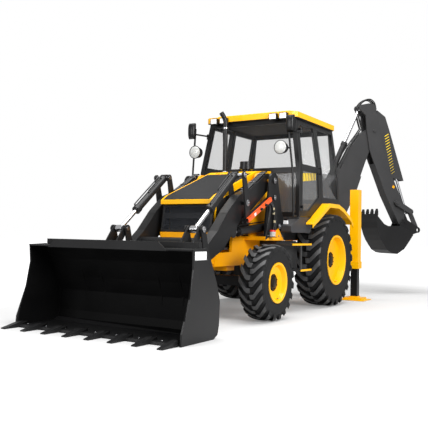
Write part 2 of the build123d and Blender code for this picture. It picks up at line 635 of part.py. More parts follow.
def make_nose():
    """Front plate, radiator, grille, bonnet, cowl, exhaust and pre-cleaner."""
    lean = (2683.0 - 2739.0) / (1439.0 - 1094.0)
    panel = outline([(2739, 1094), (2709, 1094), (2653, 1439), (2683, 1439)])
    grille = side(panel, -383, 383)
    grille -= block(-345, 345, -2800, -2600, 1126, 1262) + block(-345, 345, -2800, -2600, 1336, 1412)
    for z_low, z_high in ((1126, 1262), (1336, 1412)):
        count = int((z_high - z_low) / 22)
        for index in range(count):
            z = z_low + (index + 0.5) * (z_high - z_low) / count
            u = 2739 + lean * (z - 1094) - 6
            grille += side(outline([(u, z + 5), (u - 16, z + 9), (u - 18, z + 4), (u - 2, z - 2)]),
                           -350, 350)
    flange = side(outline([(2704, 1114), (2600, 1114), (2600, 1436), (2655, 1436)]), 350, 366.7)
    keep("radiator_grille", grille + both(flange))
    half = HOOD_HALF
    outer = outline([(HOOD_REAR, 1110), (2665, 1110), (2645, 1444), (HOOD_FRONT, 1444),
                     (HOOD_FRONT, 1496), (2640, 1560), (HOOD_REAR, 1925)])
    inner = outline([(HOOD_REAR - 40, 1000), (2800, 1000), (2800, 1443), (2626, 1443), (2626, 1464),
                     (HOOD_FRONT - 22, 1464),
                     (HOOD_FRONT - 22, 1484), (2630, 1542), (HOOD_REAR - 40, 1920)])
    bonnet = side(outer, -half, half) - side(inner, -half + HOOD_SHEET, half - HOOD_SHEET)
    cowl = side(outline([(1200, 1062), (HOOD_REAR - 10, 1062), (HOOD_REAR - 10, 1928), (1560, 1952),
                         (1140, 1988), (1200, 1340)]), -half, half)
    hinge_at = (-HOOD_REAR, HOOD_TOP)
    for sign in LEFT_RIGHT:
        notch = []
        for low, high in BONNET_NOTCHES:
            notch.append(turned(sign, low, high, hinge_at, HOOD_HINGE_R + 6))
        bonnet -= notch[0] + notch[1]
        bonnet += turned(sign, *BONNET_LUG, hinge_at, HOOD_HINGE_R)
        cowl -= turned(sign, BONNET_LUG[0] - 4, BONNET_LUG[1] + 4, hinge_at, HOOD_HINGE_R + 5)
        for low, high in COWL_LUGS:
            cowl += turned(sign, low, high, hinge_at, HOOD_HINGE_R)
        cowl += turned(sign, COWL_LUGS[0][0], COWL_LUGS[1][1], hinge_at, 10)
        bonnet -= turned(sign, COWL_LUGS[0][0], COWL_LUGS[1][1], hinge_at, 10 + PIN_FIT)
    keep("bonnet", bonnet)
    keep("scuttle", cowl)
    stack = rod((-235, -1400, 1950), (-235, -1400, 2640), 34)
    stack -= rod((-235, -1400, 2000), (-235, -1400, 2700), 29)
    tip = rod((-235, -1400, 2640), (-235, -1470, 2830), 34)
    tip -= rod((-235, -1400, 2640), (-235, -1480, 2857), 29)
    cleaner = rod((150, -1450, 1955), (150, -1450, 1990), 60)
    cleaner += rod((150, -1450, 1990), (150, -1450, 2030), 100)
    cleaner += rod((150, -1450, 2030), (150, -1450, 2100), 92)
    keep("exhaust_and_precleaner", stack + tip + cleaner - cowl)


def cab_sheet(offset, thickness, front_u, rear_u):
    """Side wall sheet that follows the cab's width at sill, belt and eaves, left side."""
    points = []
    for x, z in (CAB_SILL, CAB_BELT, CAB_EAVES):
        points.append((x - offset, z))
    for x, z in (CAB_EAVES, CAB_BELT, CAB_SILL):
        points.append((x - offset - thickness, z))
    return front(outline(points), -front_u, -rear_u)


def door_hinges():
    """Fixed half with its pins, moving half, and the bore for the pins, left door."""
    fixed = moving = bores = None
    for z, skin in DOOR_HINGES:
        def point(height):
            share = (height - DOOR_HINGE_LOW[2]) / (DOOR_HINGE_HIGH[2] - DOOR_HINGE_LOW[2])
            return tuple(a + (b - a) * share for a, b in zip(DOOR_HINGE_LOW, DOOR_HINGE_HIGH))
        x, y = point(z)[:2]
        plate = level(belt((x, y), (skin - 8, y - 34), 14, 9), z - 36, z - 1)
        plate += rod(point(z - 30), point(z + 46), 8)
        leaf = level(belt((x, y), (skin - 8, y + 34), 14, 9), z + HINGE_AIR, z + 40)
        bore = rod(point(z - 60), point(z + 80), 8 + PIN_FIT)
        fixed = plate if fixed is None else fixed + plate
        moving = leaf if moving is None else moving + leaf
        bores = bore if bores is None else bores + bore
    return fixed, moving - bores


def make_cab():
    """Cab frame, glass, roof and doors."""
    side_face = outline([(CAB_FRONT_SILL, 1330), (800, 1330), (345, 1556), (CAB_REAR, 1556),
                         (CAB_REAR, 2760), (CAB_FRONT_EAVES, 2760)])
    door_face = outline(DOOR_OUTLINE)
    opening = offset(door_face, amount=SEAM + 3, kind=Kind.INTERSECTION)
    quarter = outline(QUARTER)
    wall = cab_sheet(0, CAB_WALL, CAB_FRONT_SILL, CAB_REAR)
    wall = wall & side(side_face, 500, 900)
    wall -= side(opening, 500, 900) + side(quarter, 500, 900)
    wall = both(wall)
    width_face = outline([(-CAB_SILL[0], CAB_SILL[1]), CAB_SILL, CAB_BELT, CAB_EAVES,
                          (-CAB_EAVES[0], CAB_EAVES[1]), (-CAB_BELT[0], CAB_BELT[1])])
    lean = (CAB_FRONT_EAVES - CAB_FRONT_SILL) / (CAB_EAVES[1] - CAB_SILL[1])
    front_line = [(CAB_FRONT_SILL, 1330), (CAB_FRONT_EAVES, 2760)]
    front_sheet = side(outline([front_line[0], front_line[1], (CAB_FRONT_EAVES - CAB_WALL, 2760),
                                (CAB_FRONT_SILL - CAB_WALL, 1330)]), -900, 900)
    front_sheet = front_sheet & front(width_face, -1300, -900)
    screen = outline([(-762, 2040), (762, 2040), (655, 2690), (-655, 2690)])
    low_right = outline([(395, 1400), (800, 1400), (778, 1960), (395, 1960)])
    front_windows = front(screen, -1300, -900) + both(front(low_right, -1300, -900))
    rear_sheet = front(width_face, -CAB_REAR - CAB_WALL, -CAB_REAR) & block(-900, 900, 0, 500, 1556, 2760)
    rear_window = front(outline([(-745, 1660), (745, 1660), (655, 2690), (-655, 2690)]), 200, 500)
    fixed, moving = door_hinges()
    keep("cab_frame", apart(wall + both(fixed), front_sheet - front_windows, rear_sheet - rear_window))
    pane = cab_sheet(16, CAB_GLASS, CAB_FRONT_SILL, CAB_REAR)
    quarter_pane = pane & side(quarter, 500, 900)
    inset = 16.0
    screen_sheet = side(outline([(CAB_FRONT_SILL - inset, 1330), (CAB_FRONT_EAVES - inset, 2760),
                                 (CAB_FRONT_EAVES - inset - CAB_GLASS, 2760),
                                 (CAB_FRONT_SILL - inset - CAB_GLASS, 1330)]), -900, 900)
    rear_pane = front(outline([(-745, 1660), (745, 1660), (655, 2690), (-655, 2690)]),
                      -CAB_REAR - inset - CAB_GLASS, -CAB_REAR - inset)
    keep("cab_glass", both(quarter_pane) + (screen_sheet & front_windows) + rear_pane)
    roof = level(make_face(Polyline((-700, -1120), (700, -1120), (756, -1060), (756, 330), (700, 395),
                                    (-700, 395), (-756, 330), (-756, -1060), close=True)), 2760, 2840)
    crown = level(make_face(Polyline((-600, -1010), (600, -1010), (640, -960), (640, 260), (600, 300),
                                     (-600, 300), (-640, 260), (-640, -960), close=True)), 2840, 2872)
    keep("cab_roof", roof + crown)
    door_sheet = cab_sheet(0, DOOR_WALL, CAB_FRONT_SILL, CAB_REAR) & side(door_face, 500, 900)
    holes = side(outline(DOOR_UPPER), 500, 900) + side(outline(DOOR_LOWER), 500, 900)
    leaf = door_sheet - holes
    glass = pane & holes
    handle = rod((CAB_BELT[0] + 28, -(PILLAR_B + 45), 1985), (CAB_BELT[0] + 28, -(PILLAR_B + 45), 2085), 9)
    for z in (1992, 2078):
        handle += rod((CAB_BELT[0] - 22, -(PILLAR_B + 45), z), (CAB_BELT[0] + 28, -(PILLAR_B + 45), z), 8)
    leaf += handle + moving
    keep("door_left", leaf)
    keep("door_glass_left", glass)
    keep("door_right", mirror(leaf, about=Plane.YZ))
    keep("door_glass_right", mirror(glass, about=Plane.YZ))


def make_body():
    """Cab floor tub, fenders, tanks, steps, interior, lamps and mirrors."""
    tub = block(-500, 500, -1195, 340, FLOOR_Z - 60, FLOOR_Z)
    tub += both(block(480, 500, -800, 340, FLOOR_Z, 1556))
    tub += block(-480, 480, 320, 340, FLOOR_Z, 1556)
    sill = side(outline([(1200, 1300), (1200, 1328), (796, 1328), (770, 1300)]), 500, 858)
    sill += block(480, 520, -1195, -780, FLOOR_Z - 60, 1300)
    box = side(outline([(1450, 1128), (1450, 1200), (1215, 1300), (800, 1300), (770, 1280), (770, 1180),
                        (830, 1110), (1430, 1110)]), 705, 858)
    front_wall = block(-858, 858, -1200, -1180, FLOOR_Z - 60, 1300) & both(
        block(0, 598, -1200, -1180, FLOOR_Z - 60, 1300))
    top = [(980, 1240), (960, 1262), (800, 1330), (345, 1556), (-10, 1556), (-215, 1505), (-545, 1375),
           (-650, 1275)]
    under = [(u, z - 14) for u, z in reversed(top)]
    fender = side(outline(top + under), 503, 980)
    lip = [(u, z - 60) for u, z in reversed(top)]
    fender += side(outline(top + lip), 966, 980)
    fender -= block(480, 866, -1300, -762, 1100, 1340) + block(490, 900, -762, -360, 1556, 1700)
    keep("rear_fenders", both(fender))
    tank = side(outline([(1450, 560), (1450, 992), (820, 992), (780, 900), (820, 560)]), 380, 640)
    step = None
    for z, forward_low, forward_high in ((957, 800, 1450), (595, 800, 1170)):
        tread = block(640, 880, -forward_high, -forward_low, z - 26, z)
        step = tread if step is None else step + tread
    step += block(640, 655, -1170, -800, 595, 931) + block(860, 880, -1170, -1130, 595, 931)
    keep("tanks_and_steps", both(tank + step))
    dash = side(outline([(1120, FLOOR_Z), (960, FLOOR_Z), (900, 1700), (960, 1960), (1080, 1960)]),
                -300, 300)
    column = rod((0, -930, 1700), (0, -680, 1917), 35)
    ring = Plane(origin=(0, -680, 1918), z_dir=(0, 230, 200)) * Torus(185, 14)
    hub = rod((0, -697, 1903), (0, -672, 1925), 38)
    spokes = Plane(origin=(0, -680, 1918), z_dir=(0, 230, 200)) * (
        Box(350, 22, 10) + Pos(0, 88, 0) * Box(22, 176, 10))
    wheel = ring + hub + spokes
    stool = block(-170, 170, -380, -60, FLOOR_Z, 1380) + rod((0, -220, 1380), (0, -220, 1405), 120)
    keep("operator_seat", side(outline([(480, 1420), (480, 1500), (400, 1530), (60, 1510),
                                        (-40, 2120), (-110, 2130), (-60, 1440), (40, 1405), (440, 1405)]),
                               -240, 240))
    console = block(300, 460, -500, -60, FLOOR_Z, 1620) + block(-460, -300, -500, -60, FLOOR_Z, 1620)
    keep("cab_floor_and_consoles", tub + both(sill + box) + front_wall + dash + column + wheel + stool
         + console)


def lamp_box(x, y, z, width, height, depth):
    """Work lamp body centred on its face."""
    return block(x - width / 2, x + width / 2, y, y + depth, z - height / 2, z + height / 2)


def make_lamps():
    """Roof lamps, headlamps on their arms, mirrors and grab rails."""
    lamps = None
    for x in (578, 414):
        lamp = lamp_box(x, -1182, 2772, 120, 88, 60)
        lamp += block(x - 20, x + 20, -1122, -1050, 2752, 2760)
        lamps = lamp if lamps is None else lamps + lamp
        lamps += lamp_box(x, 395, 2800, 110, 70, 55)
    lamps = both(lamps)
    post = rod((846, -1360, 1330), (820, -1360, 1990), 14) + rod((820, -1360, 1990), (760, -1395, 2640), 14)
    post += rod((846, -1360, 1340), (820, -1190, 1340), 14)
    post += rod((768, -1390, 2560), (690, -1080, 2560), 12)
    mirror_head = block(755, 865, -1420, -1394, 2498, 2718)
    head = rod((700, -1490, 2277), (700, -1400, 2277), 76)
    head += rod((700, -1430, 2277), (794, -1374, 2277), 12)
    keep("body_fittings", lamps + both(post + mirror_head + head) + made.pop("exhaust_and_precleaner")
         - made["cab_frame"] - made["cab_floor_and_consoles"])


def make_rear_frame():
    """Cross beams for the sliding carriage and the stabilisers' outer tubes."""
    half = TUBE_SIZE / 2
    tube = block(LEG_X - half, LEG_X + half, LEG_Y - half, LEG_Y + half, TUBE_FOOT, TUBE_HEAD)
    tube += block(LEG_X - half - 12, LEG_X + half + 12, LEG_Y - half - 12, LEG_Y + half + 12,
                  TUBE_FOOT, TUBE_FOOT + 120) & block(LEG_X - half, 1200, 0, 1300, 0, 700)
    tube += rod((LEG_X, LEG_Y + half, 1490), (LEG_X, LEG_Y + half + 45, 1490), 50)
    hollow = half - TUBE_WALL
    tube -= block(LEG_X - hollow, LEG_X + hollow, LEG_Y - hollow, LEG_Y + hollow, 0, TUBE_HEAD - TUBE_WALL)
    keep("stabiliser_tubes", both(tube))
    for name, sign in (("left", 1), ("right", -1)):
        x = sign * LEG_X
        grip = LEG_SIZE / 2
        leg = block(x - grip, x + grip, LEG_Y - grip, LEG_Y + grip, PAD_THICK + 20, 1440)
        guide = hollow - SLIDE_FIT
        leg += block(x - guide, x + guide, LEG_Y - guide, LEG_Y + guide, 1370, 1440)
        pad = block(x - PAD_SIZE[0] / 2, x + PAD_SIZE[0] / 2, LEG_Y - PAD_SIZE[1] / 2,
                    LEG_Y + PAD_SIZE[1] / 2, 0, 14)
        pad += block(x - 160, x + 160, LEG_Y - 130, LEG_Y + 130, 14, PAD_THICK)
        pad += block(x - 70, x + 70, LEG_Y - 70, LEG_Y + 70, PAD_THICK, PAD_THICK + 20)
        keep(f"stabiliser_leg_{name}", leg + Pos(0, 0, FOOT_AIR) * pad)


def make_carriage():
    """Sliding carriage and the kingpost that swings in it."""
    half = CARRIAGE_HALF
    plate = block(-half, half, 1215 + SLIDE_FIT, 1290, 540, 1120)
    plate += block(-half, half, 1180, 1290, 1100 + SLIDE_FIT, 1135)
    plate += block(-half, half, 1180, 1290, 525, 560 - SLIDE_FIT)
    for z, root_r, lug_r in ((468, 170, 84), (1012, 110, 60)):
        plate += level(belt((0, 1300), (0, KINGPOST_Y), root_r, lug_r), z, z + 48) & block(
            -300, 300, 1221, 1700, z, z + 48)
    plate += block(-120, 120, 1225, 1290, 468, 540)
    plate -= rod((0, KINGPOST_Y, 400), (0, KINGPOST_Y, 1200), 45 + PIN_FIT)
    keep("backhoe_carriage", plate)
    low = BOOM_HALF + 10
    cheek = outline([(-70, 545), (-70, 990), (60, 990), (120, 960), (215, 930), (215, 830),
                     (330, 640), (345, 540), (250, 465), (60, 530)])
    cheek += Pos(*BOOM_FOOT) * Circle(95)
    cheek -= outline([(-100, 400), (185, 400), (185, 523), (-100, 523)])
    post = boom_side(cheek, low, low + 32) + boom_side(cheek, -low - 32, -low)
    post += boom_side(outline([(-85, 526), (-85, 1002), (62, 1002), (62, 526)]), -low - 32, low + 32)
    post += rod((0, KINGPOST_Y, 468), (0, KINGPOST_Y, 1060), 45)
    post += boom_pin(*BOOM_FOOT, HOE_PIN_R, -low - 44, low + 44)
    post += boom_pin(*BOOM_RAM_BASE, HOE_PIN_R, -low - 44, low + 44)
    keep("kingpost", swung(post))


def make_backhoe():
    """Boom, dipper, bucket, their rams and the bucket's rocker and link."""
    hole = HOE_PIN_R + PIN_FIT
    tip_half = 60.0
    lower = outline([(345, 600), (450, 1050), (563, 1517), (774, 1929), (868, 2180), (470, 2400),
                     (395, 2262), (355, 2050), (315, 1700), (300, 1200), (262, 800), (165, 600)])
    lower += Pos(*BOOM_FOOT) * Circle(88)
    upper = outline([(868, 2178), (1031, 2593), (1225, 3010), (1090, 3118), (849, 2972), (633, 2697),
                     (425, 2335)]) + Pos(*DIPPER_PIVOT) * Circle(86)
    boom = boom_side(lower, -BOOM_HALF, BOOM_HALF) + boom_side(upper, -tip_half, tip_half)
    ears = outline([(420, 2400), (300, 2200), (120, 2062), (118, 1960), (130, 1760), (190, 1705),
                    (340, 1800), (385, 2000)]) + Pos(*BOOM_RAM_EYE) * Circle(62)
    for low in (-78, 54):
        boom += boom_side(ears, low, low + 24)
    boom += boom_pin(*DIPPER_RAM_BASE, HOE_PIN_R, -90, 90)
    boom -= boom_pin(*BOOM_FOOT, hole, -200, 200) + boom_pin(*BOOM_RAM_EYE, hole, -200, 200)
    boom -= boom_pin(*DIPPER_PIVOT, hole, -200, 200)
    keep("boom", swung(boom))
    barrel, piston = ram(rear_point, BOOM_RAM_BASE, BOOM_RAM_EYE, 0, HOE_RAM_R, HOE_ROD_R,
                         740, 130, 50, 44, HOE_PIN_R)
    keep("boom_ram_barrel", swung(barrel))
    keep("boom_ram_rod", swung(piston))
    cheeks = outline([(1020, 3560), (1140, 3560), (1180, 3500), (1272, 3079), (1480, 2440), (1160, 2440),
                      (1052, 2688), (985, 3055), (960, 3330), (860, 3410), (877, 3525)])
    cheeks += Pos(*DIPPER_RAM_EYE) * Circle(58)
    shaft = outline([(1480, 2440), (1532, 2302), (1812, 1735), (1850, 1600), (1862, 1425), (1790, 1310),
                     (1728, 1323), (1423, 1862), (1164, 2440)]) + Pos(*HOE_PIVOT) * Circle(64)
    dipper = boom_side(shaft, -DIPPER_OUT, DIPPER_OUT)
    for low in (-DIPPER_OUT, DIPPER_OUT - 22):
        dipper += boom_side(cheeks, low, low + 22)
    spine = outline([(1140, 3560), (1180, 3500), (1272, 3079), (1480, 2440), (1440, 2440), (1245, 3060),
                     (1155, 3480), (1120, 3535), (1050, 3535), (1050, 3560)])
    dipper += boom_side(spine, -DIPPER_OUT, DIPPER_OUT)
    dipper += boom_pin(*DIPPER_PIVOT, HOE_PIN_R, -DIPPER_OUT - 14, DIPPER_OUT + 14)
    dipper += boom_pin(*HOE_RAM_BASE, HOE_PIN_R, -74, 74)
    mount = outline([(1215, 3330), (1330, 3352), (1395, 3290), (1330, 3228), (1240, 3220)])
    for low in (-74, 54):
        dipper += boom_side(mount, low, low + 20)
    dipper -= boom_pin(*HOE_PIVOT, hole, -200, 200)
    barrel, piston = ram(rear_point, DIPPER_RAM_BASE, DIPPER_RAM_EYE, 0, HOE_RAM_R, HOE_ROD_R,
                         880, 715, 50, 44, HOE_PIN_R)
    keep("dipper_ram_barrel", swung(barrel))
    keep("dipper_ram_rod", swung(piston))
    barrel, piston = ram(rear_point, HOE_RAM_BASE, ROCKER_HEAD, 0, HOE_RAM_R - 4, HOE_ROD_R - 2,
                         1120, 645, 42, 44, HOE_PIN_R)
    keep("hoe_ram_barrel", swung(barrel))
    keep("hoe_ram_rod", swung(piston))
    guard = outline([(1215, 3448), (1398, 3338), (1500, 3080), (1835, 2147), (1560, 2200), (1400, 2650),
                     (1262, 3060), (1205, 3300)])
    guard_in = outline([(1190, 3452), (1215, 3438), (1390, 3328), (1490, 3076), (1830, 2127), (1600, 2100),
                        (1280, 2900), (1180, 3200)])
    cover = boom_side(guard, -88, -80) + boom_side(guard, 80, 88) + (
        boom_side(guard, -88, 88) - boom_side(guard_in, -100, 100))
    stubs = [boom_pin(*ROCKER_PIVOT, HOE_PIN_R, DIPPER_OUT, 180),
             boom_pin(*ROCKER_PIVOT, HOE_PIN_R, -180, -DIPPER_OUT)]
    keep("dipper", swung(apart(dipper + cover, *stubs)))
    rocker = belt(ROCKER_PIVOT, ROCKER_HEAD, 52, 48)
    plates = None
    for low in (-168, 150):
        plate = boom_side(rocker, low, low + 18) - boom_pin(*ROCKER_PIVOT, hole, -200, 200)
        plates = plate if plates is None else plates + plate
    head = boom_pin(*ROCKER_HEAD, HOE_PIN_R, -168, -52) + boom_pin(*ROCKER_HEAD, HOE_PIN_R, 52, 168)
    keep("hoe_rocker", swung(plates + head))
    link = belt(ROCKER_HEAD, HOE_LINK_EYE, 48, 46)
    plates = None
    for low in (-120, 102):
        plate = boom_side(link, low, low + 18) - boom_pin(*ROCKER_HEAD, hole, -200, 200)
        plate -= boom_pin(*HOE_LINK_EYE, hole + 4, -200, 200)
        plates = plate if plates is None else plates + plate
    keep("hoe_link", swung(plates))
    make_hoe_bucket()


def make_hoe_bucket():
    """Curled digging bucket with ears, cutting edge and teeth."""
    half = HOE_HALF
    rim = [(1121, 1470), (1110, 1350), (1124, 1235), (1166, 1115), (1216, 1015), (1352, 832), (1462, 775),
           (1579, 759), (1738, 853), (1829, 967), (1944, 1119), (1905, 1175), (1700, 1262)]
    inside = [(1708, 1246), (1893, 1162), (1922, 1120), (1817, 976), (1729, 866), (1574, 774), (1466, 790),
              (1362, 843), (1229, 1022), (1180, 1121), (1138, 1238), (1125, 1351), (1136, 1470)]
    sheet = boom_side(outline(rim + inside), -half + 14, half - 14)
    cheek = outline(rim + [(1619, 1282), (1369, 1277), (1279, 1312)])
    body = sheet + boom_side(cheek, -half, -half + 14) + boom_side(cheek, half - 14, half)
    ear = outline([(1690, 1225), (1760, 1360), (1844, 1426), (2135, 1272), (2190, 1217), (2120, 1162),
                   (1925, 1100)]) + Pos(*HOE_PIVOT) * Circle(62) + Pos(*HOE_LINK_EYE) * Circle(55)
    for low in (-144, 126):
        plate = boom_side(ear, low, low + 18) - boom_pin(*HOE_LINK_EYE, HOE_PIN_R + PIN_FIT, -200, 200)
        body += plate - boom_side(outline(rim), -half, half)
    body += boom_pin(*HOE_PIVOT, HOE_PIN_R, -152, 152)
    teeth = boom_side(outline([(1112, 1440), (1136, 1440), (1146, 1500), (1116, 1500)]), -half, half)
    tooth = outline([(1106, 1490), (1152, 1490), (1154, 1540), (1142, 1592), (1134, 1592), (1112, 1540)])
    for index in range(4):
        x = -0.84 * half + index * 1.68 * half / 3
        teeth += boom_side(tooth, x - 26, x + 26)
    keep("hoe_bucket", swung(body + teeth))


def main():
    """Build every piece and write one STEP file each."""
    make_wheels()
    make_loader()
    make_frame()
    make_nose()
    make_cab()
    make_body()
    make_lamps()
    make_rear_frame()
    make_carriage()
    make_backhoe()
    os.makedirs("parts", exist_ok=True)
    for name, shape in made.items():
        export_step(Pos(-ORIGIN_X, -ORIGIN_Y, 0) * shape, f"parts/{name}.step")


main()
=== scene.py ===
"""Backhoe loader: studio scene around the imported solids."""
import json
import math

import bmesh
import bpy
from mathutils import Matrix, Vector


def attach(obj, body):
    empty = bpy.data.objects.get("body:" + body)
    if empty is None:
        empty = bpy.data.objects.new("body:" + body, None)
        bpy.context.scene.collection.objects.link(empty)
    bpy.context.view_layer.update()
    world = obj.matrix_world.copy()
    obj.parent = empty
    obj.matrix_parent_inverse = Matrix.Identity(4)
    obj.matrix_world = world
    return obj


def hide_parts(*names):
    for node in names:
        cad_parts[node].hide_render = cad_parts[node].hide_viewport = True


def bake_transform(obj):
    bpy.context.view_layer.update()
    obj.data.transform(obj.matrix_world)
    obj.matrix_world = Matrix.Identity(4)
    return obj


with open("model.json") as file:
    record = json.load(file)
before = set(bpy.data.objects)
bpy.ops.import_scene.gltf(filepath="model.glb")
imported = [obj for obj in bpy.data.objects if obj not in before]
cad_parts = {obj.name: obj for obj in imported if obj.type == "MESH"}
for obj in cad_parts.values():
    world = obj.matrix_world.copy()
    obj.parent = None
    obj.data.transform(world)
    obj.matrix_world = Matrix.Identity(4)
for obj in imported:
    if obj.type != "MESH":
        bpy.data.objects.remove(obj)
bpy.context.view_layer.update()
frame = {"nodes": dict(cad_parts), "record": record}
NODES = frame["nodes"]

# The export's origin in the machine's own frame, where the rear axle is on y = 0, in millimetres
ORIGIN_X, ORIGIN_Y = 135.0, -655.0
KINGPOST_Y = 1500.0
SWING = math.radians(36.0)


def at(x, y, z):
    """Point of the machine's frame, in millimetres, as a scene point in metres."""
    return Vector(((x - ORIGIN_X) / 1000.0, (y - ORIGIN_Y) / 1000.0, z / 1000.0))


def hoe(reach, up, across=0.0):
    """Point in the parked backhoe's plane."""
    x = reach * math.sin(SWING) + across * math.cos(SWING)
    y = KINGPOST_Y + reach * math.cos(SWING) - across * math.sin(SWING)
    return at(x, y, up)


# Camera, from the fit of the photo: place in the machine's frame, directions, lens in millimetres
CAMERA_PLACE = (4618.2, -9508.7, 1074.1)
CAMERA_RIGHT = (0.8502, 0.5262, 0.0178)
CAMERA_LOOK = (-0.5266, 0.8496, 0.0304)
CAMERA_LENS = 54.77
CAMERA_REACH = 200.0


def make_camera():
    data = bpy.data.cameras.new("photo_camera")
    data.sensor_fit = "HORIZONTAL"
    data.sensor_width = 36.0
    data.lens = CAMERA_LENS
    data.clip_end = CAMERA_REACH
    camera = bpy.data.objects.new("photo_camera", data)
    bpy.context.scene.collection.objects.link(camera)
    right = Vector(CAMERA_RIGHT)
    look = Vector(CAMERA_LOOK).normalized()
    right = (right - look * right.dot(look)).normalized()
    up = right.cross(look)
    turn = Matrix((right, up, -look)).transposed().to_4x4()
    camera.matrix_world = Matrix.Translation(at(*CAMERA_PLACE)) @ turn
    bpy.context.scene.camera = camera


# Materials
EDGE_ROUND = 0.006
RELIEF_DEPTH = 0.001
ROUGH_SPREAD = 0.05
COAT_ROUGH = 0.08


def material(name, color, rough=0.5, metal=0.0, coat=0.0, alpha=1.0):
    mat = bpy.data.materials.new(name)
    mat.use_nodes = True
    shader = mat.node_tree.nodes["Principled BSDF"]
    shader.inputs["Base Color"].default_value = (*color, 1.0)
    shader.inputs["Roughness"].default_value = rough
    shader.inputs["Metallic"].default_value = metal
    shader.inputs["Coat Weight"].default_value = coat
    shader.inputs["Coat Roughness"].default_value = COAT_ROUGH
    shader.inputs["Alpha"].default_value = alpha
    mat.diffuse_color = (*color, 1.0)
    return mat


def vary(mat, color, amount, scale, rough, bump, bump_scale):
    """Cloudy colour, uneven gloss, a fine surface relief and softly rounded edges."""
    tree = mat.node_tree
    shader = tree.nodes["Principled BSDF"]
    coords = tree.nodes.new("ShaderNodeTexCoord")
    cloud = tree.nodes.new("ShaderNodeTexNoise")
    cloud.inputs["Scale"].default_value = scale
    cloud.inputs["Detail"].default_value = 6.0
    tree.links.new(coords.outputs["Object"], cloud.inputs["Vector"])
    ramp = tree.nodes.new("ShaderNodeValToRGB")
    ramp.color_ramp.elements[0].position = 0.3
    ramp.color_ramp.elements[1].position = 0.7
    ramp.color_ramp.elements[0].color = (*[c * (1.0 - amount) for c in color], 1.0)
    ramp.color_ramp.elements[1].color = (*[min(1.0, c * (1.0 + amount)) for c in color], 1.0)
    tree.links.new(cloud.outputs["Fac"], ramp.inputs["Fac"])
    tree.links.new(ramp.outputs["Color"], shader.inputs["Base Color"])
    spread = tree.nodes.new("ShaderNodeMapRange")
    spread.inputs["To Min"].default_value = rough - ROUGH_SPREAD
    spread.inputs["To Max"].default_value = rough + ROUGH_SPREAD
    tree.links.new(cloud.outputs["Fac"], spread.inputs["Value"])
    tree.links.new(spread.outputs["Result"], shader.inputs["Roughness"])
    grain = tree.nodes.new("ShaderNodeTexNoise")
    grain.inputs["Scale"].default_value = bump_scale
    grain.inputs["Detail"].default_value = 3.0
    tree.links.new(coords.outputs["Object"], grain.inputs["Vector"])
    relief = tree.nodes.new("ShaderNodeBump")
    relief.inputs["Strength"].default_value = bump
    relief.inputs["Distance"].default_value = RELIEF_DEPTH
    tree.links.new(grain.outputs["Fac"], relief.inputs["Height"])
    edge = tree.nodes.new("ShaderNodeBevel")
    edge.samples = 4
    edge.inputs["Radius"].default_value = EDGE_ROUND
    tree.links.new(edge.outputs["Normal"], relief.inputs["Normal"])
    tree.links.new(relief.outputs["Normal"], shader.inputs["Normal"])
    return mat


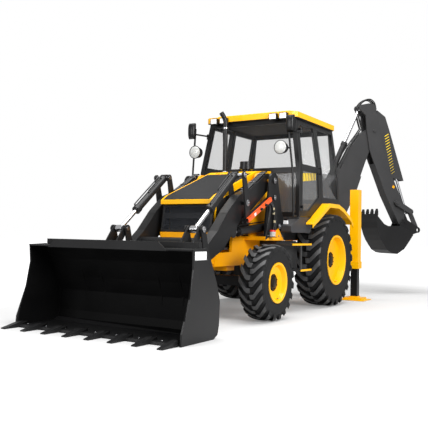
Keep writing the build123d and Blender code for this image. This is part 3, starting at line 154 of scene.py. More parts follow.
# Finishes: name -> (colour, roughness, metal, coat, cloud amount, cloud scale, bump, bump scale)
FINISHES = {
    "body_yellow": ((0.95, 0.47, 0.001), 0.30, 0.0, 0.08, 0.04, 2.5, 0.06, 180.0),
    "frame_yellow": ((0.90, 0.37, 0.001), 0.36, 0.0, 0.05, 0.05, 2.5, 0.06, 180.0),
    "charcoal_paint": ((0.012, 0.012, 0.0125), 0.36, 0.0, 0.04, 0.15, 2.5, 0.05, 160.0),
    "boom_grey": ((0.040, 0.040, 0.041), 0.38, 0.0, 0.05, 0.10, 2.0, 0.05, 160.0),
    "black_paint": ((0.009, 0.009, 0.0095), 0.34, 0.0, 0.06, 0.15, 2.5, 0.05, 160.0),
    "headliner": ((0.045, 0.045, 0.046), 0.80, 0.0, 0.0, 0.15, 12.0, 0.30, 400.0),
    # Inside of the front bucket: painted shade, darker and duller than the bucket's own paint
    "bucket_inside_painted_shade": ((0.0035, 0.0035, 0.0036), 0.50, 0.0, 0.0, 0.30, 3.0, 0.08, 120.0),
    "chrome_rod": ((0.80, 0.80, 0.82), 0.10, 1.0, 0.0, 0.03, 6.0, 0.02, 400.0),
    "pin_steel": ((0.36, 0.36, 0.37), 0.32, 1.0, 0.0, 0.10, 12.0, 0.05, 300.0),
    "tyre_rubber": ((0.010, 0.010, 0.0105), 0.60, 0.0, 0.0, 0.25, 5.0, 0.30, 90.0),
    # Paler rubber for the lugs' crests: a painted highlight
    "tread_crest_painted_highlight": ((0.060, 0.060, 0.061), 0.50, 0.0, 0.0, 0.35, 9.0, 0.30, 90.0),
    "seat_fabric": ((0.02, 0.02, 0.022), 0.88, 0.0, 0.0, 0.2, 20.0, 0.5, 600.0),
    "interior_plastic": ((0.030, 0.030, 0.033), 0.55, 0.0, 0.0, 0.1, 5.0, 0.2, 500.0),
    "engine_iron": ((0.03, 0.03, 0.03), 0.6, 0.3, 0.0, 0.2, 8.0, 0.3, 60.0),
    "panel_grey": ((0.018, 0.018, 0.0185), 0.55, 0.0, 0.0, 0.06, 3.0, 0.15, 220.0),
    # Dark brown of the hub covers: painted shade of the hubs' hollows
    "hub_painted_shade": ((0.020, 0.016, 0.010), 0.40, 0.6, 0.0, 0.4, 30.0, 0.3, 120.0),
    "mesh_steel": ((0.030, 0.034, 0.042), 0.35, 0.5, 0.0, 0.10, 30.0, 0.05, 200.0),
    "strut_orange": ((0.90, 0.10, 0.008), 0.35, 0.0, 0.3, 0.04, 5.0, 0.05, 200.0),
    "label_white": ((0.82, 0.82, 0.82), 0.45, 0.0, 0.2, 0.02, 5.0, 0.02, 200.0),
    "stripe_yellow": ((0.90, 0.62, 0.01), 0.40, 0.0, 0.2, 0.04, 5.0, 0.02, 200.0),
    "hose_rubber": ((0.008, 0.008, 0.008), 0.45, 0.0, 0.0, 0.2, 40.0, 0.6, 700.0),
    "lamp_lens": ((0.86, 0.87, 0.88), 0.12, 0.0, 0.8, 0.05, 60.0, 0.5, 160.0),
    "reflector": ((0.85, 0.86, 0.88), 0.15, 1.0, 0.0, 0.03, 30.0, 0.4, 90.0),
    "mirror_glass": ((0.75, 0.78, 0.80), 0.03, 1.0, 0.0, 0.02, 5.0, 0.0, 100.0),
    "sleeve_beige": ((0.42, 0.36, 0.22), 0.6, 0.0, 0.0, 0.15, 30.0, 0.2, 300.0),
    "cap_red": ((0.75, 0.02, 0.012), 0.35, 0.0, 0.3, 0.05, 5.0, 0.05, 200.0),
    "lens_red": ((0.55, 0.01, 0.008), 0.15, 0.0, 0.6, 0.05, 60.0, 0.3, 160.0),
    "lens_amber": ((0.85, 0.25, 0.01), 0.15, 0.0, 0.6, 0.05, 60.0, 0.3, 160.0),
}


# Specular levels under the shader's usual 0.5, for paints and rubber that the studio would grey
SPECULAR = {"charcoal_paint": 0.22, "boom_grey": 0.22, "black_paint": 0.22, "panel_grey": 0.12,
            "tyre_rubber": 0.20, "tread_crest_painted_highlight": 0.35, "bucket_inside_painted_shade": 0.06, "body_yellow": 0.25,
            "frame_yellow": 0.20, "hub_painted_shade": 0.3}


def make_materials():
    made = {}
    for name, (color, rough, metal, coat, amount, scale, bump, bump_scale) in FINISHES.items():
        mat = material(name, color, rough, metal, coat)
        made[name] = vary(mat, color, amount, scale, rough, bump, bump_scale)
    for name, level in SPECULAR.items():
        made[name].node_tree.nodes["Principled BSDF"].inputs["Specular IOR Level"].default_value = level
    for name, color, rough, alpha in (("cab_glass", (0.06, 0.062, 0.065), 0.03, 0.11),
                                      ("low_glass", (0.085, 0.086, 0.088), 0.12, 0.72)):
        glass = material(name, color, rough, 0.0, 0.0, alpha)
        glass.node_tree.nodes["Principled BSDF"].inputs["Specular IOR Level"].default_value = 0.5
        made[name] = glass
    made["clear_bowl"] = material("clear_bowl", (0.75, 0.76, 0.74), 0.08, 0.0, 0.5, 0.55)
    return made


MATERIALS = make_materials()


def dress_nodes():
    """Give every solid its finish from the record's slots, two colours where one solid has them, and painted shade
    on the front bucket's inside.
    """
    for part in frame["record"]["subparts"]:
        only_finish(part["node"], part["material_slot"])
    for side, _ in SIDES:
        second_colour(f"stabiliser_leg_{side}", "body_yellow", lambda c: c.z < PAD_TOP)
    # The towers' outer plates from below the lift ram's pin upwards, and the inside of the front bucket, painted
    # near black as painted shade
    second_colour("main_frame", "black_paint", lambda c: abs(c.x - MIDDLE_X) > TOWER_OUT and TOWER_FOOT < c.z)
    second_colour("loader_bucket", "bucket_inside_painted_shade", in_bucket)
    second_colour("cab_roof", "headliner", lambda c: c.z < ROOF_UNDER)
    # The panes below the belt are darker; of the cab's own, only those ahead of the rear axle
    axle_y = at(0, 0, 0).y
    for name in ("cab_glass", "door_glass_left", "door_glass_right"):
        second_colour(name, "low_glass", lambda c: c.z < BELT and (name != "cab_glass" or c.y < axle_y))
    # Two nodes that look other than their slot's own finish
    only_finish("tanks_and_steps", "boom_grey")
    only_finish("front_axle_beam", "black_paint")


# Where one node changes its finish, in metres of the scene
MIDDLE_X = at(0, 0, 0).x
PAD_TOP = 0.075
TOWER_OUT = 0.66
TOWER_FOOT = 1.056
ROOF_UNDER = 2.7605
BELT = 2.03
# Box round the front bucket's inside, whose faces take the painted shade
BUCKET_LOW = at(-1122, -4400, 36)
BUCKET_HIGH = at(1122, -3700, 880)


def in_bucket(centre):
    """Whether a face lies on the bucket's inner side."""
    return all(low < c < high for low, c, high in zip(BUCKET_LOW, centre, BUCKET_HIGH))


def only_finish(node, finish):
    """One finish for a whole node."""
    mesh = NODES[node].data
    mesh.materials.clear()
    mesh.materials.append(MATERIALS[finish])


def second_colour(node, finish, chosen):
    """Paint the faces whose centre passes the test in another finish."""
    mesh = NODES[node].data
    mesh.materials.append(MATERIALS[finish])
    for face in mesh.polygons:
        if chosen(face.center):
            face.material_index = 1


# Sharpest folds in degrees that are still shaded smooth
NODE_FOLD, PIECE_FOLD = 28, 35


def smooth_nodes():
    """Smooth shading across the shallow folds of every solid."""
    for node in NODES.values():
        mesh = node.data
        mesh.polygons.foreach_set("use_smooth", [True] * len(mesh.polygons))
        mesh.set_sharp_from_angle(angle=math.radians(NODE_FOLD))


# Mesh helpers
def span(sign, a, b):
    """Low and high of two distances from the middle, on one side of the machine."""
    return sorted((sign * a, sign * b))


class Build:
    """Vertices and faces in metres, gathered before they become one piece."""

    def __init__(self):
        self.verts = []
        self.faces = []

    def add(self, verts, faces):
        base = len(self.verts)
        self.verts += [Vector(v) for v in verts]
        self.faces += [tuple(base + i for i in face) for face in faces]

    def skin(self, verts, rings, steps):
        """Rings of vertices joined one to the next, with a cap on each end."""
        faces = []
        for ring in range(rings - 1):
            for step in range(steps):
                a = ring * steps + step
                b = ring * steps + (step + 1) % steps
                faces.append((a, b, b + steps, a + steps))
        faces.append(tuple(reversed(range(steps))))
        last = (rings - 1) * steps
        faces.append(tuple(range(last, last + steps)))
        self.add(verts, faces)

    def prism(self, corners, push):
        """Flat outline pushed along a vector."""
        count = len(corners)
        push = Vector(push)
        verts = [Vector(c) for c in corners] + [Vector(c) + push for c in corners]
        faces = [tuple(reversed(range(count))), tuple(range(count, 2 * count))]
        faces += [(i, (i + 1) % count, (i + 1) % count + count, i + count) for i in range(count)]
        self.add(verts, faces)

    def box(self, low, high):
        """Box between two machine corners."""
        (x0, y0, z0), (x1, y1, z1) = low, high
        self.prism([at(x0, y0, z0), at(x1, y0, z0), at(x1, y1, z0), at(x0, y1, z0)],
                   (0, 0, (z1 - z0) / 1000))

    def lathe(self, profile, origin, axis, steps=32):
        """(along, radius) profile in millimetres, turned about an axis."""
        axis = Vector(axis).normalized()
        across = axis.orthogonal().normalized()
        other = axis.cross(across)
        verts = []
        for along, radius in profile:
            for step in range(steps):
                angle = 2 * math.pi * step / steps
                out = across * math.cos(angle) + other * math.sin(angle)
                verts.append(origin + axis * along / 1000 + out * radius / 1000)
        self.skin(verts, len(profile), steps)

    def tube(self, route, radius, steps=10, fine=6):
        """Round line of one radius in millimetres through points, smoothed between them."""
        line = smooth_line(route, fine)
        verts = []
        side = (line[1] - line[0]).orthogonal().normalized()
        for index, place in enumerate(line):
            ahead = line[min(index + 1, len(line) - 1)] - line[max(index - 1, 0)]
            side = (side - ahead * side.dot(ahead) / ahead.length_squared).normalized()
            other = ahead.normalized().cross(side)
            for step in range(steps):
                angle = 2 * math.pi * step / steps
                verts.append(place + (side * math.cos(angle) + other * math.sin(angle)) * radius / 1000)
        self.skin(verts, len(line), steps)

    def hexes(self, places, axis, across, height):
        """Hexagon heads on their washers, pointing along an axis."""
        for place in places:
            self.lathe([(0, across * 0.72), (height * 0.25, across * 0.72)], place, axis, 16)
            self.lathe([(height * 0.25, across * 0.55), (height * 0.85, across * 0.55),
                        (height, across * 0.46)], place, axis, 6)

    def piece(self, name, finish, body, bevel=0.0, smooth=True):
        """New object from what was gathered, riding on a body, or baked in place without a body when given two."""
        mesh = bpy.data.meshes.new(name)
        mesh.from_pydata([tuple(v) for v in self.verts], [], self.faces)
        mesh.validate()
        tidy = bmesh.new()
        tidy.from_mesh(mesh)
        bmesh.ops.recalc_face_normals(tidy, faces=tidy.faces)
        tidy.to_mesh(mesh)
        tidy.free()
        obj = bpy.data.objects.new(name, mesh)
        bpy.context.scene.collection.objects.link(obj)
        mesh.materials.append(MATERIALS[finish])
        if smooth:
            mesh.polygons.foreach_set("use_smooth", [True] * len(mesh.polygons))
            mesh.set_sharp_from_angle(angle=math.radians(PIECE_FOLD))
        if bevel:
            soften(obj, bevel)
        if isinstance(body, tuple):
            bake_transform(obj)
        else:
            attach(obj, body)
        return obj


def smooth_line(route, fine):
    """Points of a Catmull-Rom line through a route."""
    points = [Vector(p) for p in route]
    if len(points) < 3:
        return points
    ends = [points[0] * 2 - points[1]] + points + [points[-1] * 2 - points[-2]]
    line = []
    for i in range(1, len(ends) - 2):
        p0, p1, p2, p3 = ends[i - 1:i + 3]
        for step in range(fine):
            t = step / fine
            line.append(0.5 * ((2 * p1) + (p2 - p0) * t + (2 * p0 - 5 * p1 + 4 * p2 - p3) * t ** 2
                               + (3 * p1 - p0 - 3 * p2 + p3) * t ** 3))
    return line + [points[-1]]


def soften(obj, width, segments=2, angle=35.0):
    """Rounded edges with even normals."""
    bevel = obj.modifiers.new("bevel", "BEVEL")
    bevel.width = width
    bevel.segments = segments
    bevel.limit_method = "ANGLE"
    bevel.angle_limit = math.radians(angle)
    bevel.harden_normals = True


# Tyres
TYRES = {
    "front": dict(x=880.0, y=-2180.0, radius=478.0, half=162.5, rim=257.0, lugs=19, depth=28.0, bar=62.0),
    "rear": dict(x=750.0, y=0.0, radius=705.0, half=215.0, rim=384.0, lugs=24, depth=38.0, bar=74.0),
}
SIDES = (("left", 1), ("right", -1))


def wheel_point(t, sign, axial, along, radius):
    """Tread place: axial from the mid-plane, along the tread upwards from dead ahead, radius."""
    angle = along / t["radius"]
    return at(sign * t["x"] + axial, t["y"] - radius * math.cos(angle), t["radius"] + radius * math.sin(angle))


def carcass_profile(t):
    """(axial, radius) line of one half from the bead to the tread's middle."""
    half, rim, top = t["half"], t["rim"], t["radius"] - t["depth"]
    side = half * 0.97
    return [(half - 26, rim - 20), (half - 20, rim - 6), (half - 10, rim + 4), (half - 6, rim + 16),
            (half - 8, rim + 22), (side, rim + (top - rim) * 0.36), (side + 2, rim + (top - rim) * 0.55),
            (side - 3, rim + (top - rim) * 0.74), (half - 14, top - 30), (half - 26, top - 14),
            (half * 0.62, top - 3), (half * 0.3, top), (0.0, top)]


# Lug centreline at a pitch of LUG_PITCH: (share of the half width, rise along the tread, top radius drop)
LUG_STATIONS = ((-0.06, 0.0, 1.0), (0.10, 0.0, 0.0), (0.26, 2.0, 0.0), (0.42, 34.0, 1.0), (0.60, 78.0, 4.0),
                (0.78, 122.0, 9.0), (0.93, 158.0, 18.0), (0.995, 172.0, 30.0))
LUG_PITCH = 184.0


def make_tyre(place, side, sign):
    """Lugged tyre in place of the solid one, the crests of its lugs a paler rubber as a painted highlight."""
    t = TYRES[place]
    build = Build()
    line = carcass_profile(t)
    loop = [(-a, r) for a, r in line] + [(a, r) for a, r in reversed(line[:-1])]
    count = 96
    verts, faces = [], []
    for step in range(count):
        along = 2 * math.pi * t["radius"] * step / count
        verts += [wheel_point(t, sign, a, along, r) for a, r in loop]
    size = len(loop)
    for step in range(count):
        following = (step + 1) % count
        for i in range(size - 1):
            faces.append((step * size + i, following * size + i, following * size + i + 1, step * size + i + 1))
    build.add(verts, faces)
    carcass = len(build.faces)
    half, radius = t["half"], t["radius"]
    pitch = 2 * math.pi * radius / t["lugs"]
    scale = pitch / LUG_PITCH
    for hand in (1, -1):
        for index in range(t["lugs"]):
            start = (index + (0.0 if hand > 0 else 0.5)) * pitch
            verts, faces = [], []
            for number, (share, rise, drop) in enumerate(LUG_STATIONS):
                wide = t["bar"] * (1.0 + 0.25 * max(0.0, share - 0.2)) / 2
                axial = hand * share * half
                skew = 0.25 * wide if number == 0 else 0.0
                foot = radius - t["depth"] - (60 * scale if share > 0.9 else 8)
                crest = radius - drop * scale
                here = start + rise * scale
                verts.append(wheel_point(t, sign, axial + hand * skew, here - wide, crest))
                verts.append(wheel_point(t, sign, axial, here + wide, crest))
                verts.append(wheel_point(t, sign, axial, here + wide + 9, foot))
                verts.append(wheel_point(t, sign, axial, here - wide - 9, foot))
            for number in range(len(LUG_STATIONS) - 1):
                a, b = number * 4, number * 4 + 4
                faces += [(a + i, a + (i + 1) % 4, b + (i + 1) % 4, b + i) for i in range(4)]
            end = (len(LUG_STATIONS) - 1) * 4
            faces += [(0, 1, 2, 3), (end + 3, end + 2, end + 1, end)]
            build.add(verts, faces)
    tyre = build.piece(f"tyre_tread_{place}_{side}", "tyre_rubber", f"{place}_wheel_{side}")
    # The crest faces of the lugs take the paler rubber, a painted highlight
    tyre.data.materials.append(MATERIALS["tread_crest_painted_highlight"])
    each = 4 * (len(LUG_STATIONS) - 1) + 2
    for index, face in enumerate(tyre.data.polygons):
        if index >= carcass and (index - carcass) % each < each - 2 and (index - carcass) % each % 4 == 0:
            face.material_index = 1
    soften(tyre, 0.004, 2, 40.0)
    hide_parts(f"tyre_{place}_{side}")


# Hub covers, dark discs of painted shade over the hubs' hollows: (place, face distance from the wheel's middle,
# disc radius, bolts, bolt circle)
HUB_COVERS = (("front", 79.5, 106.0, 8, 86.0), ("rear", 96.0, 118.0, 10, 98.0))


def make_hub_covers():
    for place, face, radius, bolts, circle in HUB_COVERS:
        t = TYRES[place]
        for side, sign in SIDES:
            axis = Vector((sign, 0, 0))
            centre = at(sign * t["x"], t["y"], t["radius"]) + axis * face / 1000
            build = Build()
            build.lathe([(0, radius), (5, radius), (8, radius - 5), (9, radius * 0.62), (22, radius * 0.56),
                         (28, radius * 0.44), (30, radius * 0.2), (30, 1)], centre, axis, 40)
            places = []
            for index in range(bolts):
                angle = 2 * math.pi * (index + 0.5) / bolts
                places.append(centre + Vector((sign * 0.008, circle * math.cos(angle) / 1000,
                                               circle * math.sin(angle) / 1000)))
            build.hexes(places, axis, 13, 15)
            # The cover and its bolts in the dark painted shade of the hub's hollow
            build.piece(f"hub_cover_{place}_{side}", "hub_painted_shade", f"{place}_wheel_{side}")
            valve = Build()
            start = at(sign * (t["x"] + t["half"] - 60), t["y"] + 40, t["radius"] - t["rim"] + 52)
            valve.tube([start, start + Vector((sign * 0.028, 0, 0.008))], 5)
            valve.tube([start + Vector((sign * 0.026, 0, 0.007)), start + Vector((sign * 0.042, 0, 0.012))], 7)
            valve.piece(f"valve_{place}_{side}", "pin_steel", f"{place}_wheel_{side}")


# Hood: the slope's front and rear ends, (forward, up), and half the hood's width
HOOD_SLOPE = ((2640.0, 1560.0), (1640.0, 1925.0))
HOOD_HALF = 385.0


def slope(u, above=0.0):
    """Height of the hood's slope at a forward place."""
    (u0, z0), (u1, z1) = HOOD_SLOPE
    return z0 + (z1 - z0) * (u - u0) / (u1 - u0) + above


def make_hood_panels():
    top = Build()
    wide, front_u, rear_u = 352.0, 2640.0, 1690.0
    verts = []
    for u, z in ((2736.0, 1501.5), (front_u, slope(front_u, 1)), (rear_u, slope(rear_u, 1))):
        for x in (-wide, wide):
            verts += [at(x, -u, z), at(x, -u, z + 4)]
    faces = []
    for a, b in ((0, 4), (4, 8)):
        faces += [(a + 1, a + 3, b + 3, b + 1), (a, b, b + 2, a + 2), (a, a + 1, b + 1, b),
                  (a + 2, b + 2, b + 3, a + 3)]
    faces += [(0, 2, 3, 1), (8, 9, 11, 10)]
    top.add(verts, faces)
    top.piece("hood_top_panel", "panel_grey", "bonnet", 0.0015, False)
    sides = Build()
    for _, sign in SIDES:
        x = sign * (HOOD_HALF + 0.5)
        corners = [at(x, -2640, 1140), at(x, -1665, 1140), at(x, -1665, slope(1665, -95)),
                   at(x, -2600, slope(2600, -95)), at(x, -2622, 1425)]
        sides.prism(corners, (sign * 0.003, 0, 0))
        for row in range(14):
            for low_u, high_u in ((1740, 2080), (2150, 2490)):
                z = 1190 + row * 19
                sides.box((min(x, x + sign * 9), -high_u, z), (max(x, x + sign * 9), -low_u, z + 9))
    sides.piece("hood_side_panels", "panel_grey", "bonnet", 0.001)


GRILLE_LOW = (2739.0, 1094.0)
GRILLE_HIGH = (2683.0, 1439.0)
WIRE_PITCH, WIRE_HALF = 23, 2.6


def make_grille_mesh():
    """Diagonal wire mesh over the grille, in its own slim frame."""
    build = Build()
    (u0, z0), (u1, z1) = GRILLE_LOW, GRILLE_HIGH
    low, high, half = 1118.0, 1424.0, 356.0

    def face_at(x, z, off=2.0):
        return at(x, -(u0 + (u1 - u0) * (z - z0) / (z1 - z0)) - off, z)

    tall = high - low
    count = int((2 * half + tall) / WIRE_PITCH)
    for hand in (1, -1):
        for index in range(count):
            start = -half - tall + WIRE_PITCH * (index + 0.5)
            t0 = max(0.0, (-half - start) / tall)
            t1 = min(1.0, (half - start) / tall)
            if t1 - t0 < 0.03:
                continue
            ends = [(hand * (start + tall * t), low + tall * t) for t in (t0, t1)]
            (xa, za), (xb, zb) = ends
            build.prism([face_at(xa - WIRE_HALF, za), face_at(xa + WIRE_HALF, za),
                         face_at(xb + WIRE_HALF, zb), face_at(xb - WIRE_HALF, zb)], (0, -0.0025, 0))
    build.piece("grille_wires", "mesh_steel", "bonnet", 0.0, False)
    rim = Build()
    for x_low, x_high, z_low, z_high in ((-372, 372, 1104, 1118), (-372, 372, 1424, 1436),
                                         (-372, -356, 1118, 1424), (356, 372, 1118, 1424)):
        rim.prism([face_at(x_low, z_low, 0), face_at(x_high, z_low, 0), face_at(x_high, z_high, 0),
                   face_at(x_low, z_high, 0)], (0, -0.006, 0))
    rim.piece("grille_rim", "black_paint", "bonnet", 0.0012)


# Safety strut on the near levelling link, (forward, up) ends
STRUT_ENDS = ((2400.0, 1248.0), (1772.0, 1548.0))
STRUT_X = (692.0, 722.0)


def make_strut():
    (u0, z0), (u1, z1) = STRUT_ENDS
    length = math.hypot(u1 - u0, z1 - z0)
    du, dz = (u1 - u0) / length, (z1 - z0) / length
    nu, nz = -dz, du
    tall = 27.0

    def place(along, up, x):
        return at(x, -(u0 + du * along + nu * up), z0 + dz * along + nz * up)

    low, high = STRUT_X
    channel = Build()
    depth = (high - low) / 1000
    channel.prism([place(0, -tall, high - 4), place(length, -tall, high - 4), place(length, tall, high - 4),
                   place(0, tall, high - 4)], (0.004, 0, 0))
    for edge in (-tall, tall - 4):
        channel.prism([place(0, edge, low), place(length, edge, low), place(length, edge + 4, low),
                       place(0, edge + 4, low)], (depth, 0, 0))
    channel.piece("safety_strut", "strut_orange", "levelling_links", 0.0015)
    knobs = Build()
    for along in (360.0, 497.0):
        knobs.lathe([(0, 20), (3, 20), (3, 14), (14, 13), (20, 17), (26, 15), (28, 8), (28, 1)],
                    place(along, 0, high), (1, 0, 0), 20)
    knobs.piece("strut_knobs", "black_paint", "levelling_links")
    label = Build()
    label.prism([place(165, -19, high), place(215, -19, high), place(215, 19, high), place(165, 19, high)],
                (0.001, 0, 0))
    label.piece("strut_label", "label_white", "levelling_links", 0.0, False)


# Door wall: foot as (out, up), how far it leans in over what height, and the glass behind the wall's face
DOOR_FOOT, DOOR_LEAN, DOOR_INSET = (858, 1330), (30, 690), 15.4
STRIPE_FACE = 88.3
SQUARE_FACE = 92.3


def make_marks():
    """Blank plate on the bucket, slashes on the door, stripes and a square on the dipper."""
    plate = Build()
    plate.prism([at(1132.8, -4222, 812), at(1132.8, -4012, 812), at(1132.8, -4012, 896),
                 at(1132.8, -4222, 896)], (0.002, 0, 0))
    plate.piece("bucket_blank_plate", "label_white", "loader_bucket", 0.0008)
    for side, sign in SIDES:
        slashes = Build()
        for index in range(9):
            u = 1010 - index * 58
            width = 40 - index * 3.0
            low, high = 1842 + index * 6, 1962 + index * 4.5
            corners = []
            for du, z in ((20, low), (20 - width, low), (-8 - width, high), (-8, high)):
                x = DOOR_FOOT[0] - DOOR_LEAN[0] * (z - DOOR_FOOT[1]) / DOOR_LEAN[1] - DOOR_INSET
                corners.append(at(sign * x, -(u + du), z))
            slashes.prism(corners, (sign * 0.0008, 0, 0))
        slashes.piece(f"door_slashes_{side}", "stripe_yellow", f"door_{side}", 0.0, False)
    outwards = (hoe(0, 0, 1.0) - hoe(0, 0, 0.0)) * 0.8
    stripes = Build()
    for index in range(15):
        share = index / 14
        reach, up = 1432 + 150 * share ** 1.1, 2985 - 700 * share
        width = 16 - 9 * share
        long = 46 - 8 * share
        corners = [hoe(reach - long, up - 26, STRIPE_FACE), hoe(reach + long, up + 26, STRIPE_FACE),
                   hoe(reach + long, up + 26 + width, STRIPE_FACE), hoe(reach - long, up - 26 + width, STRIPE_FACE)]
        stripes.prism(corners, outwards)
    stripes.piece("guard_stripes", "stripe_yellow", "dipper", 0.0, False)
    square = Build()
    reach, up, tilt, half = 1598.0, 2022.0, math.radians(63), 24.0
    corners = []
    for a, b in ((-1, -1), (1, -1), (1, 1), (-1, 1)):
        dr = half * (a * math.cos(tilt) - b * math.sin(tilt))
        dz = half * (a * math.sin(tilt) + b * math.cos(tilt))
        corners.append(hoe(reach + dr, up + dz, SQUARE_FACE))
    square.prism(corners, outwards)
    square.piece("dipper_square", "frame_yellow", "dipper", 0.0, False)


def make_lamps():
    """Lenses and rims of the small lamps, headlamps, mirrors, and tail and turn lamps."""
    bodies = Build()
    lens = Build()
    shells = Build()
    reflectors = Build()
    glasses_front = Build()
    for _, sign in SIDES:
        for x in (578, 414):
            low, high = span(sign, x - 50, x + 50)
            lens.box((low, -1187, 2736), (high, -1181, 2808))
            bodies.box((low - 9, -1184, 2727), (high + 9, -1170, 2735))
            bodies.box((low - 9, -1184, 2809), (high + 9, -1170, 2817))
            lens_low, lens_high = span(sign, x - 46, x + 46)
            lens.box((lens_low, 449, 2772), (lens_high, 454, 2828))
        lamp = at(sign * 700, -1490, 2277)
        shells.lathe([(-78, 40), (-70, 66), (-40, 84), (-8, 94), (6, 97), (12, 96), (12, 90), (4, 88),
                      (2, 2)], lamp, (0, -1, 0), 40)
        reflectors.lathe([(3, 86), (3, 74), (-1, 60), (3, 46), (0, 30), (5, 16), (8, 2)], lamp, (0, -1, 0), 20)
        glasses_front.lathe([(8, 88), (14, 82), (20, 60), (24, 34), (25, 2)], lamp, (0, -1, 0), 40)
        # This lens has no body: it hangs 24 mm clear of the nearest solid, the cab floor and consoles
        low, high = span(sign, 750, 815)
        lens.box((low, -1474, 1224), (high, -1452, 1272))
    bodies.piece("lamp_rims", "black_paint", "chassis", 0.001)
    shells.piece("headlamp_shells", "black_paint", "chassis")
    reflectors.piece("headlamp_reflectors", "reflector", "chassis", 0.0, False)
    glasses_front.piece("headlamp_glasses", "clear_bowl", "chassis")
    lens.piece("lamp_lenses", "lamp_lens", "chassis", 0.002)
    glasses = Build()
    for _, sign in SIDES:
        low, high = span(sign, 763, 857)
        glasses.box((low, -1394, 2506), (high, -1391, 2710))
    glasses.piece("mirror_glasses", "mirror_glass", "chassis", 0.001)
    make_mirror_backs()
    tails = Build()
    turns = Build()
    for _, sign in SIDES:
        low, high = span(sign, 800, 880)
        tails.box((low, 1225, 1655), (high, 1243, 1745))
        turns.box((low, 1225, 1750), (high, 1243, 1810))
    tails.piece("tail_lamps", "lens_red", "chassis", 0.003)
    turns.piece("turn_lamps", "lens_amber", "chassis", 0.003)


def make_mirror_backs():
    """Rounded shells bulging forwards from the flat mirror heads."""
    build = Build()
    count = 12
    for _, sign in SIDES:
        verts, faces = [], []
        for row in range(count + 1):
            for column in range(count + 1):
                a, b = 2 * column / count - 1, 2 * row / count - 1
                squeeze = 1 - 0.10 * abs(b) ** 3
                deep = 52 * (1 - abs(a) ** 3.2) ** 0.5 * (1 - abs(b) ** 3.6) ** 0.5
                verts.append(at(sign * (810 + 62 * a * squeeze), -1410 - deep, 2608 + 118 * b))
        for row in range(count):
            for column in range(count):
                i = row * (count + 1) + column
                faces.append((i, i + 1, i + count + 2, i + count + 1))
        build.add(verts, faces)
    shell = build.piece("mirror_backs", "black_paint", "chassis")
    wall = shell.modifiers.new("wall", "SOLIDIFY")
    wall.thickness = 0.004
    wall.offset = 0.0


def make_exhaust_tip():
    """Bent end of the exhaust stack and two clamps round the stack."""
    build = Build()
    start = at(-235, -1400, 2628)
    bend = [start, at(-235, -1400, 2690), at(-246, -1408, 2748), at(-268, -1424, 2800), at(-290, -1440, 2842)]
    build.tube(bend, 34, 20, 5)
    build.piece("exhaust_tip", "black_paint", "chassis")
    clamp = Build()
    clamp.lathe([(0, 35.5), (0, 38), (26, 38), (26, 35.5)], at(-235, -1400, 2600), (0, 0, 1), 24)
    clamp.lathe([(0, 35.5), (0, 42), (12, 42), (12, 35.5)], at(-235, -1400, 1972), (0, 0, 1), 24)
    clamp.piece("exhaust_clamps", "pin_steel", "chassis")


def make_tank_panels():
    """Ribbed cover between the two steps of each side."""
    build = Build()
    for _, sign in SIDES:
        low, high = span(sign, 700, 712)
        build.box((low, -1440, 596), (high, -1040, 931))
        for index in range(5):
            z = 655 + index * 52
            rib_low, rib_high = span(sign, 711, 717)
            build.box((rib_low, -1400, z), (rib_high, -1080, z + 14))
    build.piece("tank_panels", "boom_grey", "chassis", 0.002)


# Windscreen: foot as (forward, up), and how far it leans back over what height
SCREEN_FOOT, SCREEN_LEAN = (1200, 1330), (150, 1430)


def make_wiper():
    build = Build()

    def glass(x, z, off):
        u = SCREEN_FOOT[0] - SCREEN_LEAN[0] * (z - SCREEN_FOOT[1]) / SCREEN_LEAN[1]
        return at(x, -(u + off), z)

    build.tube([glass(-380, 2075, 14), glass(-420, 2300, 20), glass(-455, 2430, 14)], 6)
    build.tube([glass(-425, 2230, 8), glass(-478, 2640, 8)], 7)
    build.lathe([(0, 24), (16, 24), (20, 14), (20, 1)], glass(-380, 2070, 0), (0, -1, 0), 20)
    build.piece("wiper", "black_paint", "chassis")


def make_bowl():
    """Clear fluid bowl with its red cap beside the near tower."""
    bowl = Build()
    centre = at(735, -1765, 1050)
    bowl.lathe([(0, 30), (4, 40), (60, 44), (64, 40)], centre, (0, 0, 1), 28)
    bowl.piece("fluid_bowl", "clear_bowl", "chassis")
    cap = Build()
    cap.lathe([(64, 36), (66, 42), (82, 42), (88, 34), (88, 2)], centre, (0, 0, 1), 28)
    cap.piece("bowl_cap", "cap_red", "chassis")
    shelf = Build()
    shelf.box((690, -1810, 1040), (780, -1720, 1050))
    shelf.piece("bowl_shelf", "black_paint", "chassis", 0.001)


